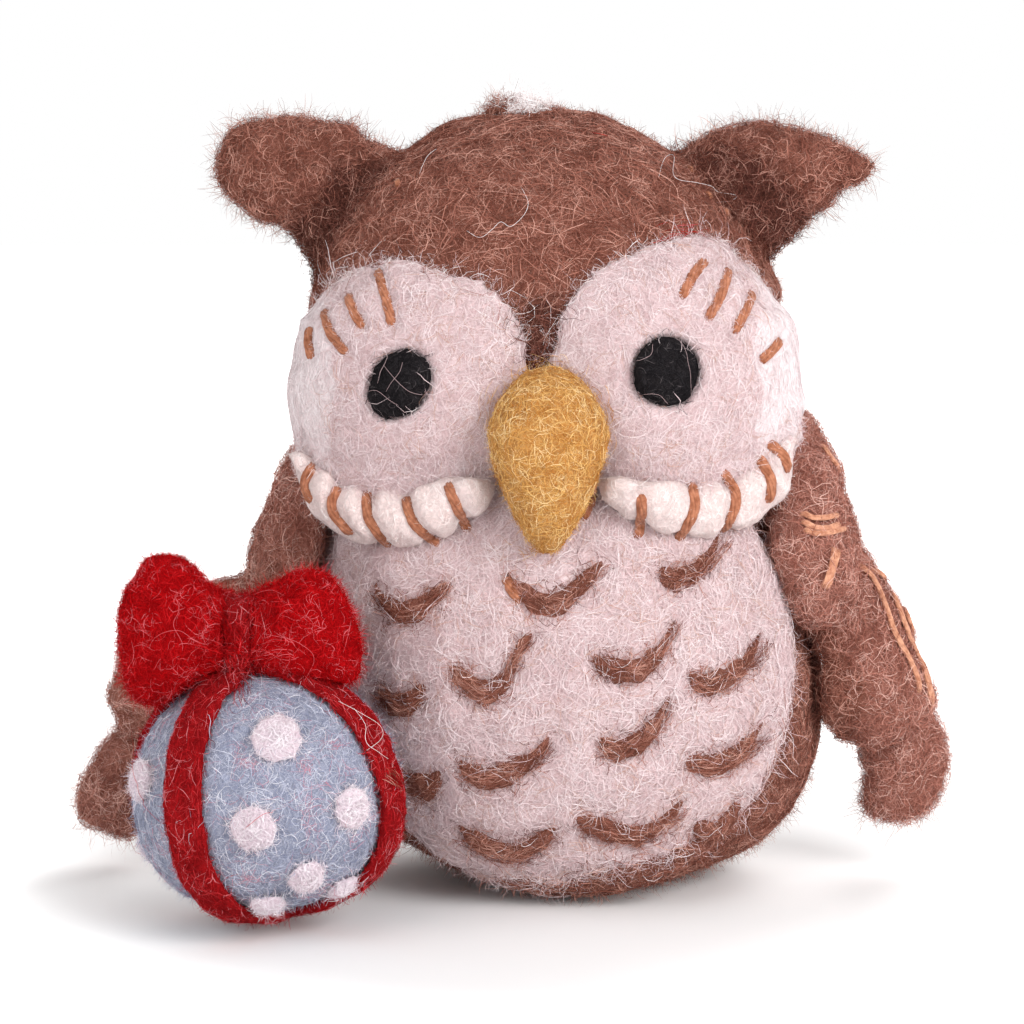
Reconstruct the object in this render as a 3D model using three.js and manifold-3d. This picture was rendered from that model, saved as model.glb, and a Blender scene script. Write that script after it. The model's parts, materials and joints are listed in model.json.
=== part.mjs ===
import * as THREE from "three";
import { mergeVertices } from "three/addons/utils/BufferGeometryUtils.js";
import Module from "manifold-3d";

const wasm = await Module();
wasm.setup();

// Felted wool owl holding a ribboned egg. Millimetres, +Z up, the owl faces -Y.
// The origin is the centre of the owl's flat foot. Left and right are as seen from the front.

// Driving dimensions

// The least space between neighbouring pieces of felt.
const GAP = 0.3;
// How deep the round forms that stand on the table are cut flat.
const FOOT_CUT = 0.5;
// Sideways lean of the whole owl, in millimetres for each millimetre of height.
const LEAN = -0.074;

const TORSO_WIDTH = 59;
const TORSO_DEPTH = 50;
const TORSO_HEIGHT = 60;
const TORSO_POWER = 2.6;
// How much the torso narrows from its middle to its top.
const TORSO_TAPER = 0.07;

const HEAD_WIDTH = 54;
const HEAD_DEPTH = 46;
const HEAD_HEIGHT = 47;
const HEAD_POWER = 2.1;
// How far the head's ball reaches down over the top of the torso.
const HEAD_SINK = 17;

const DISC_WIDTH = 32;
const DISC_HEIGHT = 31;
const DISC_DEPTH = 20;
const DISC_POWER = 2.3;
// How far the middle of each face disc lies inside the head, and how far off the head's middle line.
const DISC_SUNK = 4.2;
const DISC_SPREAD = 16.4;
const DISC_TURN = 29;
const DISC_TILT = 5;
// Height of the discs' middles from the middle of the head, the left one first.
const DISC_RISE_LEFT = -5.6;
const DISC_RISE_RIGHT = -4.5;

// The eye on the right is nearly round. The left one is an oval whose long way leans up and inwards.
const EYE_LENGTH_LEFT = 8.8;
const EYE_BREADTH_LEFT = 6.7;
const EYE_TILT_LEFT = 46;
const EYE_WIDTH_RIGHT = 8.2;
const EYE_HEIGHT_RIGHT = 7.8;
const EYE_DEPTH = 4;
const EYE_SUNK = 0.5;
// How far each eye sits from the middle of its disc, towards the beak and up.
const EYE_INWARD_LEFT = 3.4;
const EYE_INWARD_RIGHT = 6;
const EYE_RISE_LEFT = -0.4;
const EYE_RISE_RIGHT = 0.1;

const BEAK_LENGTH = 18.6;
const BEAK_WIDTH = 13;
const BEAK_DEPTH = 11;
const BEAK_PROUD = 4.6;
// Height of the beak's root from the middle of the head.
const BEAK_RISE = -5;

const RUFF_THICKNESS = 7;
const RUFF_PROUD = 11.5;
// How far the roll's middle lies outside the disc's edge, and how much nearer its outer end is tucked.
const RUFF_OUT = -0.3;
const RUFF_TUCK = 2;
// Angles of the roll's two ends from straight down, seen from the middle of its disc.
const RUFF_INNER_ANGLE = 50;
const RUFF_OUTER_ANGLE = 54;
const RUFF_STITCH_COUNT_LEFT = 5;
const RUFF_STITCH_COUNT_RIGHT = 6;
// How much each wrap stitch draws the roll in.
const RUFF_WAIST = 0.5;

const EAR_ROOT_WIDTH = 17.5;
const EAR_THICKNESS = 9.5;
// How far each ear's root is felted into the head and lies in front of the head's middle, and how far
// its tip falls back on its way out.
const EAR_SUNK = 5.8;
const EAR_FORWARD = 3;
const EAR_FALL_BACK = 0.12;
const EAR_LENGTH_LEFT = 15.5;
const EAR_LENGTH_RIGHT = 15.8;
// Bearing of each ear's root seen from the middle of the head, and where its tip points.
const EAR_BEARING_LEFT = 145;
const EAR_POINT_LEFT = 160;
const EAR_BEARING_RIGHT = 38;
const EAR_POINT_RIGHT = 16;

const TUFT_WIDTH = 8.2;
const TUFT_HEIGHT = 5;
// How far the tuft's middle is pressed below the top of the head.
const TUFT_SUNK = 0.7;

const PATCH_THICKNESS = 1.6;
const PATCH_WIDTH = 50;
const PATCH_HEIGHT = 52;
const PATCH_FOOT = 1.6;

const MARK_WIDTH = 9.5;
const MARK_DIP = 2.2;
const MARK_SWEEP = 3.8;
const MARK_BREADTH = 3;
const MARK_THICKNESS = 2.2;

const EGG_WIDTH = 29.6;
const EGG_HEIGHT = 26.4;
const EGG_POWER = 2.15;
const EGG_TAPER = 0.07;
const EGG_LEAN = 9;
// Compass bearing of the egg from the torso's middle: 180 is straight out to the left.
const EGG_BEARING = 217;
// The egg is sewn to the torso a little above the table.
const EGG_LIFT = 2.7;

const RIBBON_WIDTH = 4.6;
const RIBBON_THICKNESS = 1.1;
const RIBBON_TURNS = [-31, 66];

const BOW_SPAN = 26.4;
const BOW_HEIGHT = 16.5;
const BOW_WAIST = 12;
const BOW_THICKNESS = 10.5;
// How far the bow is pressed down over the egg's top.
const BOW_SUNK = 1.3;
const KNOT_WIDTH = 4.4;
const KNOT_DEPTH = 9;
const KNOT_HEIGHT = 11.2;
const KNOT_POWER = 2.6;
// The knot's place across and towards the front from the egg's own middle line.
const KNOT_ACROSS = 0.2;
const KNOT_FORWARD = 1;

const DOT_WIDTH = 4.8;
const DOT_THICKNESS = 2.2;

const SHOULDER_WIDTH = 11;
const SHOULDER_DEPTH = 17;
const FEATHER_WIDTH = 15;
const FEATHER_DEPTH = 9.5;
const TIP_WIDTH = 11;
const TIP_DEPTH = 7;
// How far the free wing lifts, in degrees.
const WING_LIFT = 25;

// Colours of the wools.
const WOOL = {
  brown: "#94624f",
  pale: "#dccaca",
  white: "#efe5e2",
  black: "#1a191b",
  ochre: "#d79b44",
  blue: "#aeb6cc",
  red: "#b5141a",
  ribbonRed: "#9c1c20",
  dot: "#efe6ea",
};

const RAD = Math.PI / 180;
const FULL_TURN = 2 * Math.PI;
const FRONT = new THREE.Vector3(0, -1, 0);

// A point from plain numbers.
const at = (x, y, z) => new THREE.Vector3(x, y, z);

// Solids and meshes

// A closed solid from a geometry.
function solidOf(geometry) {
  const bare = new THREE.BufferGeometry();
  bare.setAttribute("position", geometry.getAttribute("position").clone());
  bare.setIndex(geometry.index);
  const merged = mergeVertices(bare, 1e-4);
  return new wasm.Manifold(
    new wasm.Mesh({
      numProp: 3,
      vertProperties: new Float32Array(merged.attributes.position.array),
      triVerts: new Uint32Array(merged.index.array),
    }),
  );
}

// The geometry of a solid.
function geometryOf(solid) {
  const mesh = solid.getMesh();
  const geometry = new THREE.BufferGeometry();
  const points = new Float32Array(mesh.numVert * 3);
  for (let i = 0; i < mesh.numVert; i++) {
    points.set(mesh.vertProperties.subarray(i * mesh.numProp, i * mesh.numProp + 3), i * 3);
  }
  geometry.setAttribute("position", new THREE.BufferAttribute(points, 3));
  geometry.setIndex(new THREE.BufferAttribute(new Uint32Array(mesh.triVerts), 1));
  geometry.computeVertexNormals();
  return geometry;
}

// One solid cut by each of the larger ones.
const cutBy = (solid, ...cutters) => cutters.reduce((left, cutter) => left.subtract(cutter), solid);

// A closed form of rings between two poles: place(u, v) is the point at u, from 0 at the first pole
// to 1 at the last, and at the angle v round it.
function ringForm(rings, sides, place) {
  const points = [place(0, 0)];
  for (let ring = 1; ring < rings; ring++) {
    for (let side = 0; side < sides; side++) {
      points.push(place(ring / rings, (side / sides) * FULL_TURN));
    }
  }
  points.push(place(1, 0));
  const faces = [];
  const last = points.length - 1;
  const index = (ring, side) => 1 + (ring - 1) * sides + (side % sides);
  for (let side = 0; side < sides; side++) {
    faces.push(0, index(1, side + 1), index(1, side));
    for (let ring = 1; ring < rings - 1; ring++) {
      faces.push(index(ring, side), index(ring, side + 1), index(ring + 1, side + 1));
      faces.push(index(ring, side), index(ring + 1, side + 1), index(ring + 1, side));
    }
    faces.push(last, index(rings - 1, side), index(rings - 1, side + 1));
  }
  const geometry = new THREE.BufferGeometry();
  geometry.setFromPoints(points);
  geometry.setIndex(faces);
  return geometry;
}

// A swelling pod: an ellipse at each height, drawn in towards its two ends by a power.
// power 2 is an ellipsoid and more is squarer. taper narrows it upwards and lean shifts it sideways.
class Pod {
  constructor({ centre, width, depth, height, power = 2, taper = 0, lean = 0, rings = 12, sides = 20 }) {
    Object.assign(this, { centre, power, taper, lean, rings, sides });
    this.half = at(width / 2, depth / 2, height / 2);
  }

  // The share of the full section left at a height from -1 to 1 of the half height.
  share(level) {
    const drawn = Math.max(0, 1 - Math.abs(level) ** this.power) ** (1 / this.power);
    return drawn * (1 - this.taper * level);
  }

  // The pod's closed geometry, grown outwards on every side by grow.
  geometry(grow = 0) {
    return ringForm(this.rings, this.sides, (u, v) => {
      const level = -Math.cos(Math.PI * u);
      const share = this.share(level);
      const rise = this.centre.z + (this.half.z + grow) * level;
      return at(
        this.centre.x + this.lean * rise + (this.half.x + grow) * share * Math.cos(v),
        this.centre.y + (this.half.y + grow) * share * Math.sin(v),
        rise,
      );
    });
  }

  // The pod as a solid, placed by a matrix.
  solid(grow = 0, matrix = new THREE.Matrix4()) {
    return solidOf(this.geometry(grow).applyMatrix4(matrix));
  }

  // The middle of the section at a height, sideways.
  middle(z) {
    return this.centre.x + this.lean * z;
  }

  // The point on the front surface at a place across and up, grown by grow.
  front(x, z, grow = 0) {
    const share = this.share((z - this.centre.z) / (this.half.z + grow));
    const across = (x - this.middle(z)) / (this.half.x + grow);
    const inward = Math.sqrt(Math.max(0, share ** 2 - across ** 2));
    return at(x, this.centre.y - (this.half.y + grow) * inward, z);
  }

  // The point on the surface out to one side (-1 left, 1 right) at a height, grown by grow.
  side(sign, z, grow = 0) {
    const share = this.share((z - this.centre.z) / (this.half.z + grow));
    return at(this.middle(z) + sign * (this.half.x + grow) * share, this.centre.y, z);
  }
}

// A roll of wool along a curve through points: widths are its full sizes across and through at each
// point. ends sets how blunt its two ends are, and swell how much the roll swells along its way.
function roll({ points, widths, ends, rings, sides, grow = 0, swell = () => 1 }) {
  const route = new THREE.CatmullRomCurve3(points);
  const sizes = new THREE.CatmullRomCurve3(widths.map(([across, through]) => at(across, through, 0)));
  const reach = route.getLength() / 2;
  const geometry = ringForm(rings, sides, (u, v) => {
    const step = (1 - Math.cos(Math.PI * u)) / 2;
    const level = 2 * step - 1;
    const share = Math.max(0, 1 - Math.abs(level) ** ends) ** (1 / ends);
    const tangent = route.getTangent(step);
    const across = tangent.clone().cross(FRONT).normalize();
    const through = across.clone().cross(tangent).normalize();
    const size = sizes.getPoint(step).multiplyScalar(0.5 * swell(step)).addScalar(grow);
    return route
      .getPoint(step)
      .addScaledVector(tangent, (grow * level * reach) / Math.max(reach, grow))
      .addScaledVector(across, size.x * share * Math.cos(v))
      .addScaledVector(through, size.y * share * Math.sin(v));
  });
  const solid = solidOf(geometry);
  return solid.volume() < 0 ? solidOf(flipped(geometry)) : solid;
}

// The same geometry with its faces turned round.
function flipped(geometry) {
  const faces = geometry.index.array;
  const turned = [];
  for (let i = 0; i < faces.length; i += 3) {
    turned.push(faces[i], faces[i + 2], faces[i + 1]);
  }
  return geometry.clone().setIndex(turned);
}

// A box between two corners.
function box(low, high) {
  const size = high.clone().sub(low);
  const middle = low.clone().add(high).multiplyScalar(0.5);
  const geometry = new THREE.BoxGeometry(size.x, size.y, size.z);
  geometry.translate(middle.x, middle.y, middle.z);
  return solidOf(geometry);
}

const owl = new THREE.Group();

// A named sub-part in its wool.
function add(name, solid, colour) {
  const material = new THREE.MeshStandardMaterial({ color: colour, roughness: 0.95, metalness: 0 });
  const mesh = new THREE.Mesh(geometryOf(solid), material);
  mesh.name = name;
  owl.add(mesh);
}

// Everything under the table top, which flattens what stands on it.
const REACH = 10 * TORSO_HEIGHT;
const table = box(at(-REACH, -REACH, -REACH), at(REACH, REACH, 0));

// Torso and head

const torso = new Pod({
  centre: at(0, 0, TORSO_HEIGHT / 2 - FOOT_CUT),
  width: TORSO_WIDTH,
  depth: TORSO_DEPTH,
  height: TORSO_HEIGHT,
  power: TORSO_POWER,
  taper: TORSO_TAPER,
  lean: LEAN,
  rings: 16,
  sides: 28,
});

const torsoTop = TORSO_HEIGHT - FOOT_CUT;
const headMiddle = torsoTop - HEAD_SINK + HEAD_HEIGHT / 2;
const head = new Pod({
  centre: at(0, 0, headMiddle),
  width: HEAD_WIDTH,
  depth: HEAD_DEPTH,
  height: HEAD_HEIGHT,
  power: HEAD_POWER,
  lean: LEAN,
  rings: 14,
  sides: 28,
});
const headLine = head.middle(headMiddle);

// Face discs, each with a frame of its own: -Y of the frame is the way the disc looks

const disc = new Pod({
  centre: at(0, 0, 0),
  width: DISC_WIDTH,
  depth: DISC_DEPTH,
  height: DISC_HEIGHT,
  power: DISC_POWER,
  rings: 12,
  sides: 24,
});

// The frame of the disc on one side.
function discFrame(sign) {
  const rise = headMiddle + (sign < 0 ? DISC_RISE_LEFT : DISC_RISE_RIGHT);
  const seat = head.front(headLine + sign * DISC_SPREAD, rise);
  const frame = new THREE.Object3D();
  frame.position.copy(seat);
  frame.rotation.set(-DISC_TILT * RAD, 0, sign * DISC_TURN * RAD, "ZYX");
  frame.translateY(DISC_SUNK);
  frame.updateMatrix();
  return frame.matrix;
}

// An eye is a flat pod whose back sits in a pocket of its disc.
function eye(sign, grow = 0) {
  const pod = new Pod({
    centre: at(0, 0, 0),
    width: sign < 0 ? EYE_LENGTH_LEFT : EYE_WIDTH_RIGHT,
    depth: EYE_DEPTH,
    height: sign < 0 ? EYE_BREADTH_LEFT : EYE_HEIGHT_RIGHT,
    rings: 8,
    sides: 14,
  });
  const inward = sign < 0 ? EYE_INWARD_LEFT : EYE_INWARD_RIGHT;
  const rise = sign < 0 ? EYE_RISE_LEFT : EYE_RISE_RIGHT;
  const frame = new THREE.Object3D();
  frame.position.copy(disc.front(-sign * inward, rise));
  frame.translateY(EYE_SUNK);
  frame.rotation.set(0, sign < 0 ? -EYE_TILT_LEFT * RAD : 0, 0);
  frame.updateMatrix();
  return pod.solid(grow, discFrame(sign).multiply(frame.matrix));
}

// Ruff roll: an arc along the lower edge of its disc that swells between the wrap stitches. Its outer
// end is tucked in against the disc.
function ruff(sign, grow = 0) {
  const bulges = 1 + Math.round(sign < 0 ? RUFF_STITCH_COUNT_LEFT : RUFF_STITCH_COUNT_RIGHT);
  const points = [];
  const steps = 8;
  for (let step = 0; step <= steps; step++) {
    const turn = -RUFF_INNER_ANGLE + ((RUFF_INNER_ANGLE + RUFF_OUTER_ANGLE) * step) / steps;
    const out = RUFF_OUT - RUFF_TUCK * Math.max(0, turn / RUFF_OUTER_ANGLE) ** 2;
    const place = at(
      sign * Math.sin(turn * RAD) * (DISC_WIDTH / 2 + out),
      DISC_DEPTH / 2 - RUFF_PROUD - DISC_SUNK,
      -Math.cos(turn * RAD) * (DISC_HEIGHT / 2 + out),
    );
    points.push(place.applyMatrix4(discFrame(sign)));
  }
  return roll({
    points,
    widths: [
      [RUFF_THICKNESS * 0.95, RUFF_THICKNESS],
      [RUFF_THICKNESS, RUFF_THICKNESS],
      [RUFF_THICKNESS * 0.9, RUFF_THICKNESS],
    ],
    ends: 5,
    rings: 4 * bulges,
    sides: 9,
    grow,
    swell: (step) => 1 - (RUFF_WAIST / RUFF_THICKNESS) * (1 + Math.cos(FULL_TURN * bulges * step)),
  });
}

// Beak: a cone of wool that bulges forward from between the discs and points down.
function beak(grow = 0) {
  const root = headMiddle + BEAK_RISE;
  const line = head.middle(root);
  const face = head.front(line, root).y;
  return roll({
    points: [
      at(line, face - BEAK_PROUD * 0.3, root + BEAK_LENGTH * 0.04),
      at(line, face - BEAK_PROUD * 1.15, root - BEAK_LENGTH * 0.28),
      at(line, face - BEAK_PROUD * 1.25, root - BEAK_LENGTH * 0.62),
      at(line, face - BEAK_PROUD * 0.9, root - BEAK_LENGTH),
    ],
    widths: [
      [BEAK_WIDTH * 0.75, BEAK_DEPTH * 0.75],
      [BEAK_WIDTH * 1.02, BEAK_DEPTH],
      [BEAK_WIDTH * 0.76, BEAK_DEPTH * 0.8],
      [BEAK_WIDTH * 0.4, BEAK_DEPTH * 0.5],
    ],
    ends: 2.6,
    rings: 10,
    sides: 14,
    grow,
  });
}

// Ears: lobes that stand out from the head's upper corners

// A point seen from the middle of the head at a bearing, with 0 to the right and 90 straight up.
function fromHead(bearing, distance) {
  const turn = bearing * RAD;
  return at(headLine + distance * Math.cos(turn), 0, headMiddle + distance * Math.sin(turn));
}

// An ear from its root on the head's rim to its tip; widths are shares of its root's width.
function ear(bearing, point, length, shares, ends) {
  const root = fromHead(bearing, HEAD_WIDTH / 2 - EAR_SUNK).add(at(0, -EAR_FORWARD, 0));
  const way = at(Math.cos(point * RAD), EAR_FALL_BACK, Math.sin(point * RAD));
  const points = shares.map((_, i) => {
    return root.clone().addScaledVector(way, ((length + EAR_SUNK) * i) / (shares.length - 1));
  });
  const widths = shares.map((share) => [EAR_ROOT_WIDTH * share, EAR_THICKNESS * (0.45 + 0.55 * share)]);
  return roll({ points, widths, ends, rings: 10, sides: 14 });
}

// Belly patch: a layer of pale wool felted over the front of the torso

const patchMiddle = PATCH_FOOT + PATCH_HEIGHT / 2;

// The front part of the torso that the patch covers, as a rod that runs front to back.
function patchRod() {
  const outline = new THREE.Shape();
  outline.absellipse(torso.middle(patchMiddle), patchMiddle, PATCH_WIDTH / 2, PATCH_HEIGHT / 2, 0, FULL_TURN);
  const rod = new THREE.ExtrudeGeometry(outline, {
    depth: TORSO_DEPTH,
    bevelEnabled: false,
    curveSegments: 16,
  });
  rod.rotateX(Math.PI / 2);
  return solidOf(rod);
}

// The torso with its patch on, grown by grow, for what lies on the patch to be cut by.
const patchSkin = (grow = 0) => torso.solid(PATCH_THICKNESS + grow);

// Feather marks: crescents in rows, each row staggered against the next. A row's height is a share of
// the patch's height. A mark is its lowest point's place, as a share of the patch's half width from
// the torso's middle line, its lift from the row's height in millimetres, and its share of the full width.
const MARK_ROWS = [
  { height: 0.67, marks: [[-0.69, -1.6, 1], [0, 0, 1.05], [0.48, 1.8, 0.95]] },
  { height: 0.49, marks: [[-0.77, -1.3, 0.75], [-0.385, -0.4, 1.05], [0.19, 1.7, 1.05], [0.6, -0.5, 1]] },
  { height: 0.296, marks: [[-0.7, -2.6, 0.55], [-0.35, -0.5, 1.1], [0.25, 3.2, 0.95], [0.58, 0.7, 1.05]] },
  { height: 0.142, marks: [[-0.31, -1.3, 1.15], [0.22, 1.7, 1.2], [0.59, 0.2, 0.5]] },
];

// One crescent, needled half into the patch: its lowest point is nearer its left end, and its right end
// sweeps up.
function mark({ x, z, width }, grow = 0) {
  const shares = [-0.4, -0.2, 0, 0.3, 0.6];
  const rises = [MARK_DIP, MARK_DIP * 0.3, 0, MARK_SWEEP * 0.3, MARK_SWEEP];
  const points = shares.map((share, i) => torso.front(x + share * width, z + rises[i], PATCH_THICKNESS));
  return roll({
    points,
    widths: [
      [MARK_BREADTH * 0.5, MARK_THICKNESS * 0.7],
      [MARK_BREADTH, MARK_THICKNESS],
      [MARK_BREADTH * 0.6, MARK_THICKNESS * 0.8],
    ],
    ends: 3,
    rings: 7,
    sides: 7,
    grow,
  });
}

// Every mark's place and width.
const marks = MARK_ROWS.flatMap(({ height, marks: row }) => {
  return row.map(([place, lift, size]) => {
    const z = PATCH_FOOT + height * PATCH_HEIGHT + lift;
    return { x: torso.middle(z) + (place * PATCH_WIDTH) / 2, z, width: MARK_WIDTH * size };
  });
});

// Egg with its ribbon, bow and dots. The egg's frame leans, and its origin is the egg's middle

const egg = new Pod({
  centre: at(0, 0, 0),
  width: EGG_WIDTH,
  depth: EGG_WIDTH,
  height: EGG_HEIGHT,
  power: EGG_POWER,
  taper: EGG_TAPER,
  rings: 12,
  sides: 20,
});

// The egg's middle, out from the torso along the bearing until the two just touch.
function eggPlace() {
  const rise = EGG_HEIGHT / 2 + EGG_LIFT;
  const share = torso.share((rise - torso.centre.z) / (torso.half.z + PATCH_THICKNESS));
  const way = at(Math.cos(EGG_BEARING * RAD), Math.sin(EGG_BEARING * RAD), 0);
  const across = way.x / (torso.half.x + PATCH_THICKNESS);
  const ahead = way.y / (torso.half.y + PATCH_THICKNESS);
  const rim = share / Math.hypot(across, ahead);
  return at(torso.middle(rise), 0, rise).addScaledVector(way, rim + EGG_WIDTH / 2 - GAP);
}

function eggFrame() {
  const frame = new THREE.Object3D();
  frame.position.copy(eggPlace());
  frame.rotation.set(0, -EGG_LEAN * RAD, 0);
  frame.updateMatrix();
  return frame.matrix;
}

// Ribbon: two bands round the egg that cross at its top.
function ribbon(grow = 0) {
  const frame = eggFrame();
  const span = 2 * (EGG_WIDTH + EGG_HEIGHT);
  const bands = RIBBON_TURNS.map((turn) => {
    const slab = new THREE.BoxGeometry(RIBBON_WIDTH + 2 * grow, span, span);
    slab.rotateZ(turn * RAD);
    return solidOf(slab.applyMatrix4(frame));
  });
  const skin = egg.solid(GAP + RIBBON_THICKNESS + grow, frame).subtract(egg.solid(GAP - grow, frame));
  return skin.intersect(bands[0].add(bands[1]));
}

// Where the knot sits: on top of the egg and its ribbon.
function knotPlace() {
  return at(KNOT_ACROSS, -KNOT_FORWARD, EGG_HEIGHT / 2 + KNOT_HEIGHT / 2 - BOW_SUNK).applyMatrix4(eggFrame());
}

function knot(grow = 0) {
  const place = knotPlace();
  return new Pod({
    centre: place,
    width: KNOT_WIDTH + 2 * grow,
    depth: KNOT_DEPTH + 2 * grow,
    height: KNOT_HEIGHT + 2 * grow,
    power: KNOT_POWER,
    rings: 10,
    sides: 14,
  }).solid();
}

// One loop of the bow, from the knot out to one side.
function bowLoop(sign, grow = 0) {
  const place = knotPlace();
  const points = [0.02, 0.3, 0.6, 0.98].map((share) => {
    return place.clone().add(at((sign * share * BOW_SPAN) / 2, 0, BOW_HEIGHT * 0.05 * share));
  });
  return roll({
    points,
    widths: [
      [BOW_WAIST * 0.95, BOW_THICKNESS * 0.8],
      [BOW_WAIST * 1.08, BOW_THICKNESS * 0.92],
      [BOW_HEIGHT, BOW_THICKNESS],
      [BOW_HEIGHT * 1.02, BOW_THICKNESS * 0.8],
    ],
    ends: 4,
    rings: 12,
    sides: 14,
    grow,
  });
}

// Dots: each a flat button of wool at a bearing round the egg and a height, in degrees, with its size.
const DOTS = [
  [-71, 34, 1.15],
  [-88, -5, 1.05],
  [-47, -5, 0.95],
  [-67, -32, 0.9],
  [-88, -51, 0.9],
  [-50, -54, 0.8],
  [-155, 18, 0.95],
  [168, -24, 0.95],
  [108, 8, 1],
  [126, -36, 0.9],
  [96, 42, 0.9],
];

function dot([bearing, height, size]) {
  const way = at(
    Math.cos(height * RAD) * Math.cos(bearing * RAD),
    Math.cos(height * RAD) * Math.sin(bearing * RAD),
    Math.sin(height * RAD),
  );
  const level = way.z;
  const share = egg.share(level);
  const flat = Math.hypot(way.x, way.y);
  const place = at(
    (egg.half.x * share * way.x) / flat,
    (egg.half.y * share * way.y) / flat,
    egg.half.z * level,
  );
  const button = new Pod({
    centre: at(0, 0, 0),
    width: DOT_WIDTH * size,
    depth: DOT_WIDTH * size,
    height: DOT_THICKNESS,
    rings: 5,
    sides: 8,
  }).geometry();
  button.applyQuaternion(new THREE.Quaternion().setFromUnitVectors(at(0, 0, 1), way));
  button.translate(place.x, place.y, place.z);
  return solidOf(button.applyMatrix4(eggFrame()));
}

// Wings: three overlapping lobes each. A route gives places outwards from the torso's side, in y and
// in height, and tipShares the tip's width at its root, middle and end as shares of the full width

const WING_ROUTES = {
  right: {
    sign: 1,
    shoulder: [[10.5, 0, 56.5], [2.8, -5, 48.5], [0, -10, 39.5], [-0.6, -10, 32]],
    feathers: [[0, -3, 45], [1.8, -6, 34], [4.1, -6, 24], [6.1, -5, 16.4]],
    tip: [[7.8, -3, 19.4], [9.8, -1, 14], [13.2, 0, 7]],
    tipShares: [0.8, 0.98, 0.8],
  },
  left: {
    sign: -1,
    shoulder: [[0, -1, 55], [0.9, -2, 48], [1.4, -3, 40], [3.4, -2, 32]],
    feathers: [[2, 0, 38], [5, 1, 30.5], [16, 2, 24], [18.3, 2, 15]],
    tip: [[21.8, 2.5, 16.4], [27.2, 3, 10.4], [34.8, 3, 4.6]],
    tipShares: [0.55, 0.8, 0.8],
  },
};

// The points of a route in the owl's frame.
function wingPoints(sign, route) {
  return route.map(([out, y, z]) => torso.side(sign, z).add(at(sign * out, y, 0)));
}

function shoulder({ sign, shoulder: route }, grow = 0) {
  return roll({
    points: wingPoints(sign, route),
    widths: [
      [SHOULDER_WIDTH * 0.45, SHOULDER_DEPTH * 0.5],
      [SHOULDER_WIDTH * 0.85, SHOULDER_DEPTH * 0.85],
      [SHOULDER_WIDTH, SHOULDER_DEPTH],
      [SHOULDER_WIDTH * 0.95, SHOULDER_DEPTH * 0.8],
    ],
    ends: 3,
    rings: 10,
    sides: 14,
    grow,
  });
}

function feathers({ sign, feathers: route }, grow = 0) {
  return roll({
    points: wingPoints(sign, route),
    widths: [
      [FEATHER_WIDTH * 0.5, FEATHER_DEPTH * 0.8],
      [FEATHER_WIDTH * 0.78, FEATHER_DEPTH],
      [FEATHER_WIDTH * 1.02, FEATHER_DEPTH],
      [FEATHER_WIDTH * 1.02, FEATHER_DEPTH * 0.7],
    ],
    ends: 4.5,
    rings: 10,
    sides: 14,
    grow,
  });
}

function wingTip({ sign, tip: route, tipShares: [root, middle, end] }) {
  return roll({
    points: wingPoints(sign, route),
    widths: [
      [TIP_WIDTH * root, TIP_DEPTH * 0.8],
      [TIP_WIDTH * middle, TIP_DEPTH],
      [TIP_WIDTH * end, TIP_DEPTH * 0.9],
    ],
    ends: 3.5,
    rings: 9,
    sides: 12,
  });
}

// What the body of the owl keeps clear for the things sewn onto it.
const torsoRoom = torso.solid(GAP);
const patchRoom = patchSkin(GAP);
const headRoom = head.solid(GAP);
const discRoom = { left: disc.solid(GAP, discFrame(-1)), right: disc.solid(GAP, discFrame(1)) };
const ruffRoom = { left: ruff(-1, GAP), right: ruff(1, GAP) };
const eggRoom = egg.solid(GAP, eggFrame());
const ribbonRoom = egg.solid(2 * GAP + RIBBON_THICKNESS, eggFrame());

// The hinge line of the free wing runs front to back through the top of its shoulder lobe.
const hinge = wingPoints(1, WING_ROUTES.right.shoulder)[0];

// A solid cut clear of a cutter all the way through the free wing's lift.
function cutThroughLift(solid, cutter) {
  const steps = 5;
  let left = solid;
  for (let step = 0; step <= steps; step++) {
    const turn = new THREE.Matrix4()
      .makeTranslation(hinge.x, hinge.y, hinge.z)
      .multiply(new THREE.Matrix4().makeRotationY((WING_LIFT * RAD * step) / steps))
      .multiply(new THREE.Matrix4().makeTranslation(-hinge.x, -hinge.y, -hinge.z));
    left = left.subtract(cutter.transform(turn.elements));
  }
  return left;
}

// Assembly

add("torso", cutBy(torso.solid(), table), WOOL.brown);
add("head", cutBy(head.solid(), torsoRoom), WOOL.brown);
add("belly_patch", cutBy(patchSkin().intersect(patchRod()), torsoRoom, headRoom, table), WOOL.pale);

const sides = [
  { name: "left", sign: -1 },
  { name: "right", sign: 1 },
];
for (const { name, sign } of sides) {
  const neighbour = name === "right" ? [discRoom.left] : [];
  add(
    "face_disc_" + name,
    cutBy(disc.solid(0, discFrame(sign)), headRoom, patchRoom, eye(sign, GAP), ...neighbour),
    WOOL.pale,
  );
  add("eye_" + name, eye(sign), WOOL.black);
  add("ruff_" + name, cutBy(ruff(sign), headRoom, patchRoom, discRoom.left, discRoom.right), WOOL.white);
}
add(
  "beak",
  cutBy(beak(), headRoom, patchRoom, discRoom.left, discRoom.right, ruffRoom.left, ruffRoom.right),
  WOOL.ochre,
);

const earLeft = ear(EAR_BEARING_LEFT, EAR_POINT_LEFT, EAR_LENGTH_LEFT, [1, 0.92, 0.74, 0.48], 3.6);
const earRight = ear(EAR_BEARING_RIGHT, EAR_POINT_RIGHT, EAR_LENGTH_RIGHT, [1.05, 0.94, 0.6, 0.18], 3);
add("ear_left", cutBy(earLeft, headRoom, discRoom.left), WOOL.brown);
add("ear_right", cutBy(earRight, headRoom, discRoom.right), WOOL.brown);

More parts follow.
